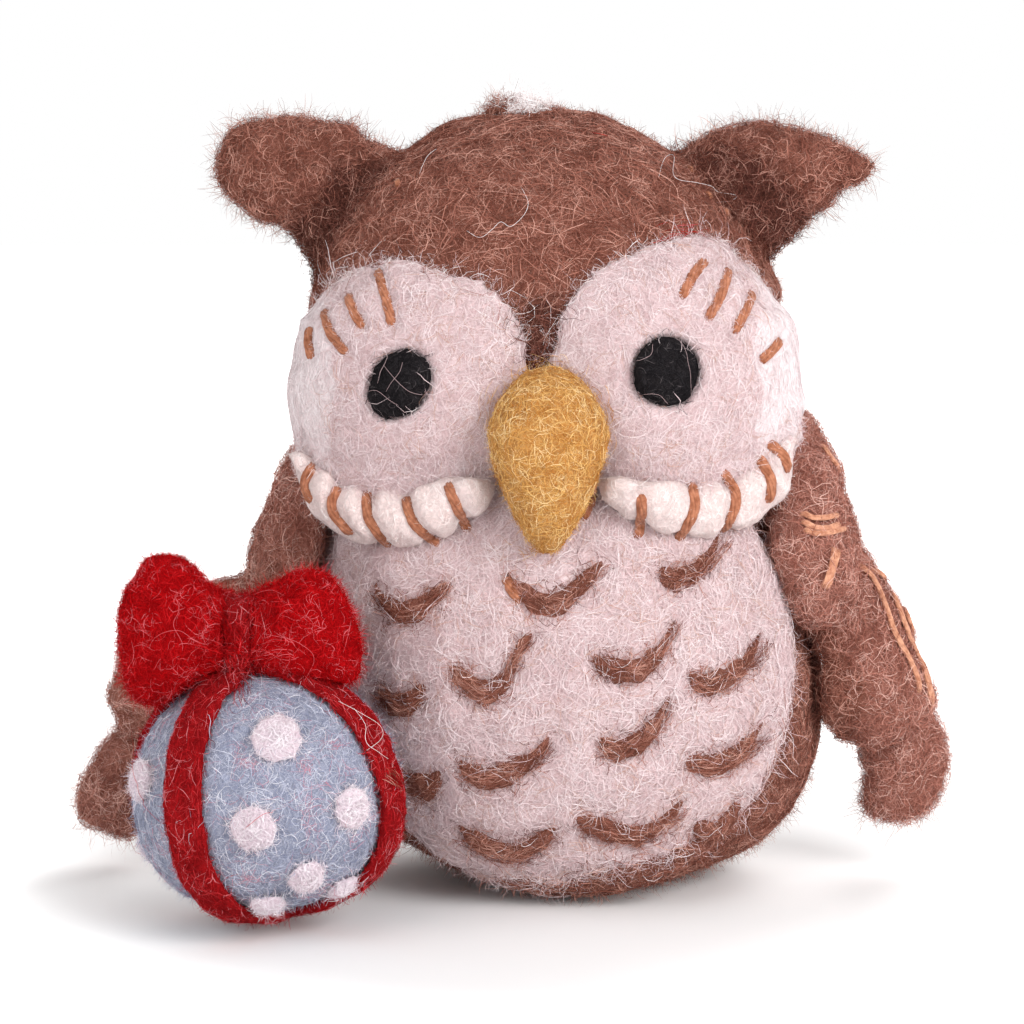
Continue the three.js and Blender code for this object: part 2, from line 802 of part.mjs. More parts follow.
const tuftPlace = at(headLine - TUFT_WIDTH / 3, 0, headMiddle + HEAD_HEIGHT / 2 - TUFT_SUNK);
const tuft = new Pod({
  centre: tuftPlace,
  width: TUFT_WIDTH,
  depth: TUFT_WIDTH * 0.8,
  height: TUFT_HEIGHT,
  rings: 6,
  sides: 12,
});
add("crown_tuft", cutBy(tuft.solid(), headRoom), WOOL.white);

for (const [i, spec] of marks.entries()) {
  const crescent = cutBy(mark(spec), patchRoom, ribbonRoom, ruffRoom.left, ruffRoom.right);
  add("feather_mark_" + (i + 1), crescent, WOOL.brown);
}

const leftWing = WING_ROUTES.left;
const rightWing = WING_ROUTES.right;
const marksRoom = marks.map((spec) => mark(spec, GAP));
const collarRoom = [headRoom, discRoom.left, discRoom.right, ruffRoom.left, ruffRoom.right];
const bodyRoom = [torsoRoom, patchRoom, ...collarRoom, ...marksRoom];
add("wing_left_shoulder", cutBy(shoulder(leftWing), ...bodyRoom), WOOL.brown);
add("wing_left_feathers", cutBy(feathers(leftWing), shoulder(leftWing, GAP), ...bodyRoom), WOOL.brown);
add("wing_left_tip", cutBy(wingTip(leftWing), feathers(leftWing, GAP), table), WOOL.brown);

const clearOfBody = (solid) => bodyRoom.reduce(cutThroughLift, solid);
add("wing_right_shoulder", clearOfBody(shoulder(rightWing)), WOOL.brown);
add("wing_right_feathers", clearOfBody(cutBy(feathers(rightWing), shoulder(rightWing, GAP))), WOOL.brown);
add("wing_right_tip", cutBy(wingTip(rightWing), feathers(rightWing, GAP), table), WOOL.brown);

add("egg", cutBy(egg.solid(0, eggFrame()), patchRoom, table), WOOL.blue);
add("egg_ribbon", cutBy(ribbon(), patchRoom, table), WOOL.ribbonRed);
const bandRoom = ribbon(GAP);
for (const [i, spec] of DOTS.entries()) {
  add("egg_dot_" + (i + 1), cutBy(dot(spec), eggRoom, bandRoom), WOOL.dot);
}
const frontRoom = [patchRoom, ...marksRoom];
add("bow_knot", cutBy(knot(), ribbonRoom, ...frontRoom), WOOL.ribbonRed);
add("bow_loop_left", cutBy(bowLoop(-1), knot(GAP), ribbonRoom, ...frontRoom), WOOL.red);
add("bow_loop_right", cutBy(bowLoop(1), knot(GAP), ribbonRoom, ...frontRoom), WOOL.red);

export default owl;
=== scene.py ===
import json
import math

import bmesh
import bpy
import numpy as np
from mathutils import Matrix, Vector, noise
from mathutils.bvhtree import BVHTree
from mathutils.kdtree import KDTree

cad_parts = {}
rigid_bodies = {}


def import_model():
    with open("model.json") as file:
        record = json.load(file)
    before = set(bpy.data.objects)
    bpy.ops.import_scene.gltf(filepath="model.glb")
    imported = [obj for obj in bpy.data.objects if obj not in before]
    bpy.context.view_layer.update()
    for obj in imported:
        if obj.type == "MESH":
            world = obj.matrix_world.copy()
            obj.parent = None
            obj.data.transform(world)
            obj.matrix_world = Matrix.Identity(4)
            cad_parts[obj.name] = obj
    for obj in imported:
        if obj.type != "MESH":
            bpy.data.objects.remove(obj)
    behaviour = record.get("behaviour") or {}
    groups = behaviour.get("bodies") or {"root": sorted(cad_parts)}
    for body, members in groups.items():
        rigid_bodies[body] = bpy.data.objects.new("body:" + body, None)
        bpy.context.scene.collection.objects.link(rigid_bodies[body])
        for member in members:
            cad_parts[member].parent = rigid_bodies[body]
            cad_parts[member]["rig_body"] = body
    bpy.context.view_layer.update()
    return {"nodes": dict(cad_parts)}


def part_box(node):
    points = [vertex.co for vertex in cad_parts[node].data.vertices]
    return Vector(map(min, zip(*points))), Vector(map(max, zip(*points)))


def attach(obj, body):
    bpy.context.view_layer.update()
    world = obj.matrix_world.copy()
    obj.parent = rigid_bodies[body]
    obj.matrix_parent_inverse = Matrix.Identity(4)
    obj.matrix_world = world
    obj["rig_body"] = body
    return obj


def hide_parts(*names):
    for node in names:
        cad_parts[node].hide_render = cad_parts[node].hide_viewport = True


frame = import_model()

# Looks of the felted wool owl. Lengths are in metres, written as millimetres times MM.
MM = 0.001
rng = np.random.default_rng(7)


# Camera, at the photograph's own place

PHOTO_SIZE = 1024
LENS = 120
SENSOR = 36
CAMERA_ELEVATION = math.radians(8)
CAMERA_DISTANCE = 400.4 * MM
CAMERA_TARGET = Vector((-8.45, 0, 43)) * MM
# Nothing nearer or farther than these is drawn.
CLIP_START = CAMERA_DISTANCE * 0.1
CLIP_END = CAMERA_DISTANCE * 10
# The photograph's middle and the camera's distance from it, in pixels.
PHOTO_MIDDLE = PHOTO_SIZE / 2
PHOTO_REACH = PHOTO_SIZE * LENS / SENSOR
# What a pixel spans at the owl.
PIXEL = CAMERA_DISTANCE * SENSOR / LENS / PHOTO_SIZE

camera_right = Vector((1, 0, 0))
camera_ahead = Vector((0, math.cos(CAMERA_ELEVATION), -math.sin(CAMERA_ELEVATION)))
camera_up = camera_right.cross(camera_ahead)
camera_place = CAMERA_TARGET - CAMERA_DISTANCE * camera_ahead


def add_object(name, data):
    obj = bpy.data.objects.new(name, data)
    bpy.context.scene.collection.objects.link(obj)
    return obj


def aim(obj, place, way):
    """Puts a camera or a lamp at a place, looking along a way."""
    obj.location = place
    obj.rotation_mode = "QUATERNION"
    obj.rotation_quaternion = way.to_track_quat("-Z", "Y")


def make_camera():
    data = bpy.data.cameras.new("camera")
    data.lens = LENS
    data.sensor_width = SENSOR
    data.clip_start = CLIP_START
    data.clip_end = CLIP_END
    camera = add_object("camera", data)
    aim(camera, camera_place, camera_ahead)
    bpy.context.scene.camera = camera


def pixel_way(x, y):
    """The way that the camera looks through a pixel of the photograph."""
    right = camera_right * ((x - PHOTO_MIDDLE) / PHOTO_REACH)
    up = camera_up * ((PHOTO_MIDDLE - y) / PHOTO_REACH)
    return (camera_ahead + right + up).normalized()


def pixels_of(places):
    """Where the camera sees places: their x and their y in the photograph's pixels."""
    ways = places - np.array(camera_place)
    ahead, right, up = (ways @ np.array(axis) for axis in (camera_ahead, camera_right, camera_up))
    return PHOTO_MIDDLE + PHOTO_REACH * right / ahead, PHOTO_MIDDLE - PHOTO_REACH * up / ahead


make_camera()


# Wools: the slot, the sheen, how much like shades lie together, the dark, the middle and the light
# colour of the felt, and the shades of single fibres with their shares. Colours are linear

WOOL_PARTS = ("slot", "sheen", "cloud", "colours", "shades", "shares")
WOOLS = {
    "brown": (
        "brown_wool", 0.08, 0.8,
        [(0.085, 0.028, 0.019), (0.233, 0.083, 0.057), (0.403, 0.175, 0.127)],
        [(0.148, 0.047, 0.032), (0.276, 0.101, 0.072), (0.413, 0.178, 0.131), (0.562, 0.297, 0.233)],
        [0.28, 0.37, 0.26, 0.09],
    ),
    # Darker brown for the hollows by the ears and the fold between the discs: partly darker wool,
    # partly painted shade.
    "umber": (
        "brown_wool", 0.05, 0.7,
        [(0.031, 0.009, 0.007), (0.103, 0.035, 0.026), (0.206, 0.082, 0.062)],
        [(0.072, 0.023, 0.016), (0.134, 0.046, 0.034), (0.216, 0.084, 0.064), (0.391, 0.196, 0.154)],
        [0.32, 0.38, 0.24, 0.06],
    ),
    # The wings' lighter brown: partly lighter wool, partly painted light that lifts their shaded
    # lobes.
    "wing": (
        "brown_wool", 0.08, 0.9,
        [(0.138, 0.047, 0.033), (0.35, 0.136, 0.102), (0.551, 0.265, 0.201)],
        [(0.233, 0.081, 0.058), (0.398, 0.161, 0.121), (0.562, 0.27, 0.212), (0.731, 0.456, 0.387)],
        [0.27, 0.37, 0.27, 0.09],
    ),
    "pale": (
        "pale_wool", 0.2, 0.5,
        [(0.46, 0.29, 0.29), (0.7, 0.53, 0.54), (0.84, 0.72, 0.73)],
        [(0.63, 0.455, 0.465), (0.75, 0.605, 0.615), (0.83, 0.725, 0.735), (0.54, 0.33, 0.27)],
        [0.25, 0.43, 0.29, 0.03],
    ),
    "white": (
        "white_wool", 0.2, 0.5,
        [(0.6, 0.46, 0.455), (0.77, 0.665, 0.66), (0.87, 0.8, 0.795)],
        [(0.74, 0.62, 0.615), (0.83, 0.74, 0.74), (0.89, 0.84, 0.84)],
        [0.25, 0.4, 0.35],
    ),
    # The crown tuft's whiter wool: partly its own whiteness, partly painted light against the tuft's
    # own shade.
    "tuft": (
        "white_wool", 0.2, 0.5,
        [(0.78, 0.68, 0.68), (0.89, 0.82, 0.82), (0.93, 0.9, 0.9)],
        [(0.87, 0.79, 0.79), (0.91, 0.86, 0.86), (0.94, 0.92, 0.92)],
        [0.25, 0.4, 0.35],
    ),
    "rim": (
        "white_wool", 0.2, 0.5,
        [(0.62, 0.48, 0.49), (0.76, 0.65, 0.66), (0.84, 0.77, 0.78)],
        [(0.71, 0.59, 0.6), (0.79, 0.7, 0.71), (0.84, 0.77, 0.78)],
        [0.25, 0.45, 0.3],
    ),
    "cream": (
        "white_wool", 0.2, 0.5,
        [(0.58, 0.42, 0.4), (0.77, 0.63, 0.61), (0.87, 0.77, 0.75)],
        [(0.71, 0.56, 0.54), (0.8, 0.68, 0.66), (0.87, 0.79, 0.77)],
        [0.25, 0.45, 0.3],
    ),
    "black": (
        "black_wool", 0.0, 0.5,
        [(0.004, 0.004, 0.005), (0.013, 0.011, 0.012), (0.04, 0.035, 0.037)],
        [(0.008, 0.007, 0.008), (0.02, 0.018, 0.02), (0.07, 0.06, 0.062)],
        [0.5, 0.4, 0.1],
    ),
    "ochre": (
        "ochre_wool", 0.08, 0.6,
        [(0.315, 0.105, 0.021), (0.567, 0.278, 0.079), (0.735, 0.462, 0.184)],
        [(0.452, 0.184, 0.042), (0.64, 0.336, 0.095), (0.756, 0.483, 0.189), (0.84, 0.619, 0.326)],
        [0.27, 0.39, 0.27, 0.07],
    ),
    "blue": (
        "blue_wool", 0.1, 0.6,
        [(0.134, 0.149, 0.216), (0.34, 0.36, 0.464), (0.546, 0.556, 0.659)],
        [(0.247, 0.268, 0.371), (0.422, 0.443, 0.556), (0.597, 0.608, 0.711), (0.803, 0.783, 0.834),
         (0.567, 0.247, 0.309)],
        [0.24, 0.35, 0.25, 0.13, 0.03],
    ),
    "red": (
        "red_wool", 0.0, 0.6,
        [(0.13, 0.001, 0.002), (0.4, 0.003, 0.005), (0.55, 0.008, 0.011)],
        [(0.29, 0.0015, 0.003), (0.46, 0.003, 0.005), (0.58, 0.012, 0.016), (0.66, 0.12, 0.14)],
        [0.3, 0.42, 0.25, 0.03],
    ),
    "ribbon": (
        "ribbon_wool", 0.0, 0.6,
        [(0.11, 0.0025, 0.0035), (0.31, 0.006, 0.008), (0.45, 0.02, 0.023)],
        [(0.21, 0.004, 0.006), (0.38, 0.008, 0.011), (0.52, 0.032, 0.037), (0.62, 0.18, 0.2)],
        [0.32, 0.41, 0.22, 0.05],
    ),
    "dot": (
        "dot_wool", 0.2, 0.5,
        [(0.6, 0.46, 0.52), (0.78, 0.65, 0.71), (0.87, 0.79, 0.83)],
        [(0.72, 0.59, 0.65), (0.82, 0.73, 0.78), (0.89, 0.83, 0.86)],
        [0.25, 0.4, 0.35],
    ),
}
# A wool's gloss is faint. Fibres are a little smoother than felt.
FELT_ROUGHNESS = 0.85
FIBRE_ROUGHNESS = 0.7
SPECULAR = 0.03
SHEEN_ROUGHNESS = 0.5
# The felt's noises: the scale to the millimetre, the stretch, the detail and the warp of its clouds
# and its pits, and the scales and stretches of its layers of lines, which share detail and warp.
FELT_CLOUDS = (0.16, (1.0, 1.0, 1.0), 3.0, 0.3)
FELT_PITS = (1.3, (1.2, 1.0, 0.9), 3.0, 0.5)
FELT_LINES = [(0.5, (1.0, 1.5, 0.8)), (0.75, (1.7, 0.9, 1.2)), (1.1, (0.8, 1.1, 1.8))]
LINE_DETAIL = 2.0
LINE_WARP = 1.4
# How far from its middle value a noise still counts as a line, and what share lines and pits take.
NOISE_MIDDLE = 0.5
LINE_BREADTH = 0.03
LINE_SHARE = 0.85
PIT_SHARE = 1.35
FELT_BUMP = 0.7
FELT_RELIEF = 0.12 * MM


def set_inputs(node, inputs):
    """Sets each of these inputs of a node to its value, or links it to another node's output."""
    for key, value in inputs.items():
        if isinstance(value, bpy.types.NodeSocket):
            node.id_data.links.new(value, node.inputs[key])
        else:
            node.inputs[key].default_value = value


def new_node(tree, kind, inputs, output=0, **settings):
    """An output of a new shader node."""
    node = tree.nodes.new("ShaderNode" + kind)
    for name, value in settings.items():
        setattr(node, name, value)
    set_inputs(node, inputs)
    return node.outputs[output]


def principled(name, inputs):
    """A new material and its shader, as dull as felt where the inputs don't say otherwise."""
    material = bpy.data.materials.new(name)
    material.use_nodes = True
    shader = material.node_tree.nodes["Principled BSDF"]
    set_inputs(shader, {"Roughness": FELT_ROUGHNESS, "Specular IOR Level": SPECULAR, **inputs})
    return material, shader


def felt_material(wool, name):
    """Felt: layers of thin tangled lines, light on dark, over cloudy patches of colour."""
    sheen = {"Sheen Weight": wool["sheen"], "Sheen Roughness": SHEEN_ROUGHNESS}
    material, shader = principled("felt_" + name, sheen)
    tree = material.node_tree
    place = new_node(tree, "TexCoord", {}, "Object")
    dark, middle, light = ((*colour, 1) for colour in wool["colours"])

    def noise_at(scale, stretch, detail, warp):
        """A noise, turned by as much as it is stretched, so that no two lie alike."""
        mapped = new_node(tree, "Mapping", {"Vector": place, "Scale": stretch, "Rotation": stretch})
        look = {"Vector": mapped, "Scale": scale / MM, "Detail": detail, "Distortion": warp}
        return new_node(tree, "TexNoise", look, "Fac")

    def calculate(operation, first, second):
        return new_node(tree, "Math", {0: first, 1: second}, operation=operation)

    def lines(scale, stretch):
        """1 along the thin lines where a warped noise passes its middle value, 0 between them."""
        texture = noise_at(scale, stretch, LINE_DETAIL, LINE_WARP)
        offset = calculate("ABSOLUTE", calculate("SUBTRACT", texture, NOISE_MIDDLE), 0)
        band = {"Value": offset, "From Min": 0, "From Max": LINE_BREADTH, "To Min": 1, "To Max": 0}
        return new_node(tree, "MapRange", band, "Result")

    def mix(share, first, second):
        return new_node(tree, "Mix", {"Factor": share, 6: first, 7: second}, 2, data_type="RGBA")

    threads = lines(*FELT_LINES[0])
    for layer in FELT_LINES[1:]:
        threads = calculate("MAXIMUM", threads, lines(*layer))
    pits = noise_at(*FELT_PITS)
    ground = mix(calculate("MULTIPLY", pits, PIT_SHARE), dark, middle)
    strands = mix(noise_at(*FELT_CLOUDS), middle, light)
    height = calculate("ADD", threads, pits)
    relief = {"Strength": FELT_BUMP, "Distance": FELT_RELIEF, "Height": height}
    set_inputs(shader, {
        "Base Color": mix(calculate("MULTIPLY", threads, LINE_SHARE), ground, strands),
        "Normal": new_node(tree, "Bump", relief),
    })
    return material


def fibre_materials(wool, name):
    """One plain material for each shade of fibre: a fibre is one colour all along."""
    return [
        principled(f"fibre_{name}_{i}", {"Base Color": (*shade, 1), "Roughness": FIBRE_ROUGHNESS})[0]
        for i, shade in enumerate(wool["shades"], 1)
    ]


for name, row in WOOLS.items():
    WOOLS[name] = dict(zip(WOOL_PARTS, row))
    WOOLS[name]["felt"] = felt_material(WOOLS[name], name)
    WOOLS[name]["fibres"] = fibre_materials(WOOLS[name], name)


# Skins: each CAD solid rounded and made lumpy, as felt is

# Corners nearer to each other than this are one corner.
WELD = 0.001 * MM
SMOOTHING = 0.5
# The relief of kinds of felt, as noises of a height and a width.
COARSE = [(0.45 * MM, 9 * MM), (0.22 * MM, 3.5 * MM), (0.08 * MM, 1.2 * MM)]
FINE = [(0.18 * MM, 3.5 * MM), (0.08 * MM, 1.2 * MM)]
RAGGED = [(0.4 * MM, 2.2 * MM), (0.18 * MM, 0.9 * MM)]
NUBBY = [(0.3 * MM, 2.2 * MM), (0.12 * MM, 0.8 * MM)]
LUMPY = [(0.7 * MM, 5 * MM), (0.35 * MM, 2.4 * MM), (0.1 * MM, 1 * MM)]
# The way along X that is outward on each side.
OUTWARD = {"left": -1, "right": 1}
MARK_COUNT = 14
DOT_COUNT = 11
SKINS = {}


def evaluated(obj):
    """A mesh of the object as its modifiers leave it."""
    graph = bpy.context.evaluated_depsgraph_get()
    return bpy.data.meshes.new_from_object(obj.evaluated_get(graph))


def welded(node):
    """A copy of a CAD node's mesh with its split corners joined."""
    mesh = node.data.copy()
    work = bmesh.new()
    work.from_mesh(mesh)
    bmesh.ops.remove_doubles(work, verts=work.verts, dist=WELD)
    work.to_mesh(mesh)
    work.free()
    return mesh


def read(elements, attribute):
    """An attribute of three numbers of each of a mesh's elements, as rows."""
    values = np.zeros(len(elements) * 3, np.float32)
    elements.foreach_get(attribute, values)
    return values.reshape(-1, 3).astype(float)


def points_of(obj):
    return read(obj.data.vertices, "co")


def normals_of(obj):
    return read(obj.data.vertex_normals, "vector")


def triangles_of(obj):
    obj.data.calc_loop_triangles()
    corners = np.zeros(len(obj.data.loop_triangles) * 3, np.int32)
    obj.data.loop_triangles.foreach_get("vertices", corners)
    return corners.reshape(-1, 3)


def set_points(obj, points):
    obj.data.vertices.foreach_set("co", points.astype(np.float32).ravel())
    obj.data.update()


def lumps(points, layers):
    """How far each point stands out: the sum of noises, each of a height and a width."""
    out = np.zeros(len(points))
    for height, width in layers:
        out += height * np.array([noise.noise(Vector(p)) for p in points / width])
    return out


def add_skin(name, wool, voxel, rounding, swell=0.0, layers=COARSE):
    """The felt piece that stands for a CAD node: rounded, swollen a little and lumpy.

    voxel and swell are in millimetres, and rounding is how often it is smoothed.
    """
    node = frame["nodes"][name]
    obj = add_object("felt_" + name, welded(node))
    remesh = obj.modifiers.new("remesh", "REMESH")
    remesh.mode = "VOXEL"
    remesh.voxel_size = voxel * MM
    smooth = obj.modifiers.new("smooth", "SMOOTH")
    smooth.factor = SMOOTHING
    smooth.iterations = rounding
    mesh = evaluated(obj)
    obj.modifiers.clear()
    obj.data = mesh
    points = points_of(obj)
    points += normals_of(obj) * (swell * MM + lumps(points, layers))[:, None]
    points[:, 2] = np.maximum(points[:, 2], 0)
    set_points(obj, points)
    mesh.shade_smooth()
    mesh.materials.clear()
    mesh.materials.append(WOOLS[wool]["felt"])
    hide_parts(name)
    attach(obj, node["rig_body"])
    obj["wool"] = wool
    SKINS[name] = obj


add_skin("torso", "brown", 0.8, 10)
add_skin("head", "brown", 0.8, 10)
for side in ("left", "right"):
    add_skin("ear_" + side, "brown", 0.55, 8, layers=LUMPY)
    add_skin("face_disc_" + side, "pale", 0.5, 8, swell=0.15, layers=FINE)
    add_skin("eye_" + side, "black", 0.3, 4, layers=NUBBY)
    add_skin("ruff_" + side, "cream", 0.4, 6, swell=0.1, layers=FINE)
    add_skin("bow_loop_" + side, "red", 0.45, 8, swell=0.1, layers=LUMPY)
    for lobe in ("shoulder", "feathers", "tip"):
        add_skin(f"wing_{side}_{lobe}", "wing", 0.55, 7, swell=0.4, layers=LUMPY)
add_skin("crown_tuft", "tuft", 0.3, 6, layers=FINE)
add_skin("beak", "ochre", 0.45, 8, swell=0.15, layers=FINE)
add_skin("belly_patch", "pale", 0.5, 6, swell=0.25, layers=FINE)
add_skin("egg", "blue", 0.5, 8, layers=FINE)
add_skin("egg_ribbon", "ribbon", 0.35, 5, layers=FINE)
add_skin("bow_knot", "ribbon", 0.4, 6, swell=0.2, layers=FINE)
for number in range(1, MARK_COUNT + 1):
    add_skin(f"feather_mark_{number}", "brown", 0.3, 3, swell=0.3, layers=RAGGED)
for number in range(1, DOT_COUNT + 1):
    add_skin(f"egg_dot_{number}", "dot", 0.2, 16, swell=0.2, layers=FINE)


MARKS = [obj for name, obj in SKINS.items() if name.startswith("feather_mark")]
DOTS = [obj for name, obj in SKINS.items() if name.startswith("egg_dot")]


class Surface:
    """One searchable surface of several skins, which knows the wool of each face."""

    def __init__(self, objects):
        points, faces, self.wools = [], [], []
        start = 0
        for obj in objects:
            corners = triangles_of(obj)
            points.append(points_of(obj))
            faces.append(corners + start)
            self.wools += [obj["wool"]] * len(corners)
            start += len(points[-1])
        self.tree = BVHTree.FromPolygons(np.vstack(points).tolist(), np.vstack(faces).tolist())

    def seen(self, pixel):
        """What the camera sees through a pixel, or what is nearest there: its place and its normal."""
        way = pixel_way(*pixel)
        place, normal, _, _ = self.tree.ray_cast(camera_place, way)
        if place is None:
            place, normal, _, _ = self.tree.find_nearest(camera_place + way * CAMERA_DISTANCE)
        return place, normal


def find_surfaces():
    """A surface of each body's skins."""
    return {
        body: Surface([obj for obj in SKINS.values() if obj["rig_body"] == body])
        for body in ("owl", "free_wing")
    }


def unit(vectors):
    return vectors / np.maximum(np.linalg.norm(vectors, axis=-1, keepdims=True), 1e-12)


def columns(pairs, join=np.array):
    """Pairs as two arrays: all that come first and all that come second."""
    first, second = zip(*pairs)
    return join(first), join(second)


def press(obj, places, depth, reach, rise=0.0):
    """Presses a skin in by depth at the places, and lets it rise beyond their reach, all in metres."""
    tree = KDTree(len(places))
    for i, place in enumerate(places):
        tree.insert(place, i)
    tree.balance()
    points = points_of(obj)
    far = np.array([tree.find(p)[2] for p in points])
    near = np.clip(1 - far / reach, 0, 1)
    near = near * near * (3 - 2 * near)
    points += normals_of(obj) * (rise * (1 - near) - depth * near)[:, None]
    set_points(obj, points)


# Stitches of embroidery floss. Each is a list of the photograph's pixels that it passes over

BROW_STITCHES = [
    [(377, 268), (386, 297), (393, 327)],
    [(348, 294), (354, 311), (363, 328)],
    [(324, 308), (331, 333), (348, 354)],
    [(310, 328), (309, 343), (312, 358)],
    [(706, 259), (692, 277), (681, 299)],
    [(729, 267), (720, 296), (706, 321)],
    [(753, 291), (744, 313), (733, 333)],
    [(780, 340), (771, 351), (760, 361)],
]
RUFF_STITCHES = {
    "left": [
        [(314, 464), (305, 483), (311, 502)],
        [(339, 485), (332, 509), (352, 535)],
        [(367, 491), (369, 518), (389, 547)],
        [(405, 495), (415, 524), (441, 545)],
        [(447, 482), (458, 509), (469, 532)],
    ],
    "right": [
        [(594, 484), (591, 500), (582, 519)],
        [(641, 495), (642, 513), (637, 538)],
        [(691, 482), (694, 510), (677, 541)],
        [(722, 470), (736, 498), (724, 532)],
        [(758, 456), (771, 481), (768, 503)],
        [(768, 443), (783, 455), (788, 472)],
    ],
}
BELLY_STITCHES = [[(506, 578), (512, 590), (521, 602)]]
EAR_STITCHES = [
    [(396, 179), (399, 183), (398, 188)],
    [(687, 166), (691, 169), (694, 173)],
    [(705, 191), (709, 195), (712, 199)],
    [(723, 207), (726, 212), (729, 216)],
]
WING_STITCHES = [
    [(819, 421), (828, 430), (837, 443)],
    [(819, 445), (829, 461), (843, 476)],
    [(800, 513), (812, 520), (826, 519), (838, 515)],
    [(801, 521), (812, 528), (826, 530), (840, 524)],
    [(803, 529), (815, 535), (830, 533), (846, 527)],
    [(833, 546), (829, 566), (822, 588)],
    [(837, 548), (832, 567), (825, 589)],
    [(857, 561), (875, 587), (889, 622), (901, 647), (914, 675), (921, 696)],
    [(869, 565), (885, 584), (896, 609), (905, 633), (914, 655), (922, 675), (931, 708)],
    [(876, 567), (891, 587), (902, 612), (912, 638), (921, 665), (933, 713)],
]
FLOSS_WIDTH = 1.3 * MM
# The wing and the ears are sewn with thinner floss, which lies on top of the wing's fibres.
WING_FLOSS_WIDTH = 0.75 * MM
STITCH_HEIGHT = 0.1 * MM
WING_STITCH_HEIGHT = 0.45 * MM
FLOSS_FLATNESS = 0.55
FLOSS_STRANDS = 6
FLOSS_TWIST = 0.55 / MM
# A strand's thickness as a share of the floss, and how many sides it has.
STRAND_SHARE = 0.42
STRAND_SIDES = 6
# How far the ends of a stitch dive into the felt, over how much of its length.
STITCH_DIVE = 1.1 * MM
DIVE_SHARE = 0.12
# A route over the wool has a point every so many pixels, and its lumps are evened out so often.
ROUTE_STEP = 3
EVENINGS = 3
FLOSS_SHEEN = 0.15
FLOSS_GRAIN = 1.6 / MM
FLOSS_DETAIL = 4
# Where the grain's values turn from the dark to the light colour.
FLOSS_TURN = (0.3, 0.7)
FLOSS_BUMP = 0.5
FLOSS_RELIEF = 0.05 * MM
FLOSS_COLOURS = ((0.22, 0.07, 0.034), (0.48, 0.2, 0.115))
WING_FLOSS_COLOURS = ((0.38, 0.15, 0.085), (0.66, 0.34, 0.22))


def floss_material(name, colours):
    """Cotton floss: each strand's colour wavers a little along it."""
    material, shader = principled(name, {"Sheen Weight": FLOSS_SHEEN})
    tree = material.node_tree
    place = new_node(tree, "TexCoord", {}, "Object")
    look = {"Vector": place, "Scale": FLOSS_GRAIN, "Detail": FLOSS_DETAIL}
    grain = new_node(tree, "TexNoise", look, "Fac")
    ramp = tree.nodes.new("ShaderNodeValToRGB")
    for element, position, colour in zip(ramp.color_ramp.elements, FLOSS_TURN, colours):
        element.position = position
        element.color = (*colour, 1)
    set_inputs(ramp, {"Fac": grain})
    relief = {"Strength": FLOSS_BUMP, "Distance": FLOSS_RELIEF, "Height": grain}
    set_inputs(shader, {"Base Color": ramp.outputs["Color"], "Normal": new_node(tree, "Bump", relief)})
    return material


def smooth_route(corners, step):
    """Points a step apart or less along a smooth curve through the corners."""
    corners = np.asarray(corners, float)
    padded = np.vstack([2 * corners[0] - corners[1], corners, 2 * corners[-1] - corners[-2]])
    route = []
    for a, b, c, d in zip(padded, padded[1:], padded[2:], padded[3:]):
        count = max(2, math.ceil(np.linalg.norm(c - b) / step))
        for t in np.arange(count) / count:
            bend = (2 * a - 5 * b + 4 * c - d) * t**2 + (3 * b - a - 3 * c + d) * t**3
            route.append((2 * b + (c - a) * t + bend) / 2)
    route.append(corners[-1])
    return np.array(route)


def seen_route(surface, pixels):
    """The places and normals under a curve through the pixels, with small lumps evened out."""
    places, normals = columns(surface.seen(pixel) for pixel in smooth_route(pixels, ROUTE_STEP))
    for _ in range(EVENINGS):
        for values in (places, normals):
            values[1:-1] = (values[:-2] + 2 * values[1:-1] + values[2:]) / 4
    return places, unit(normals)


def tubes_mesh(name, routes, radius, sides, material):
    """Closed thin tubes; each route is its points, the ways across it and the ways up from it."""
    points, faces = [], []
    for places, across, up in routes:
        first = len(points)
        for place, side, rise in zip(places, across, up):
            for k in range(sides):
                angle = 2 * math.pi * k / sides
                points.append(place + radius * (math.cos(angle) * side + math.sin(angle) * rise))
        for ring in range(len(places) - 1):
            low = first + ring * sides
            for k in range(sides):
                after = (k + 1) % sides
                faces.append((low + k, low + after, low + sides + after, low + sides + k))
        faces.append(tuple(range(first + sides - 1, first - 1, -1)))
        faces.append(tuple(range(len(points) - sides, len(points))))
    mesh = bpy.data.meshes.new(name)
    mesh.from_pydata(points, [], faces)
    mesh.materials.append(material)
    mesh.shade_smooth()
    return mesh


def framed(places, normals):
    """The ways across and up from a route that lies on a surface with these normals."""
    along = unit(np.gradient(places, axis=0))
    across = unit(np.cross(along, normals))
    return across, np.cross(across, along)


def stitch_routes(surface, pixels, width, height):
    """The strands of one stitch: they twist round each other, and the ends dive into the felt."""
    places, normals = seen_route(surface, pixels)
    share = np.linspace(0, 1, len(places))
    dive = np.clip(1 - np.minimum(share, 1 - share) / DIVE_SHARE, 0, 1)
    places = places + normals * (height - STITCH_DIVE * dive**2)[:, None]
    across, up = framed(places, normals)
    length = np.concatenate([[0], np.cumsum(np.linalg.norm(np.diff(places, axis=0), axis=1))])
    radius = width / 2 * STRAND_SHARE
    routes = []
    for strand in range(FLOSS_STRANDS):
        turn = 2 * math.pi * strand / FLOSS_STRANDS + FLOSS_TWIST * length
        aside = np.cos(turn) * (width / 2 - radius)
        above = np.sin(turn) * (width / 2 - radius) * FLOSS_FLATNESS
        routes.append((places + across * aside[:, None] + up * above[:, None], across, up))
    return routes, radius


def add_piece(name, mesh, body):
    """A piece that no CAD node stands for, riding a body."""
    piece = add_object(name, mesh)
    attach(piece, body)


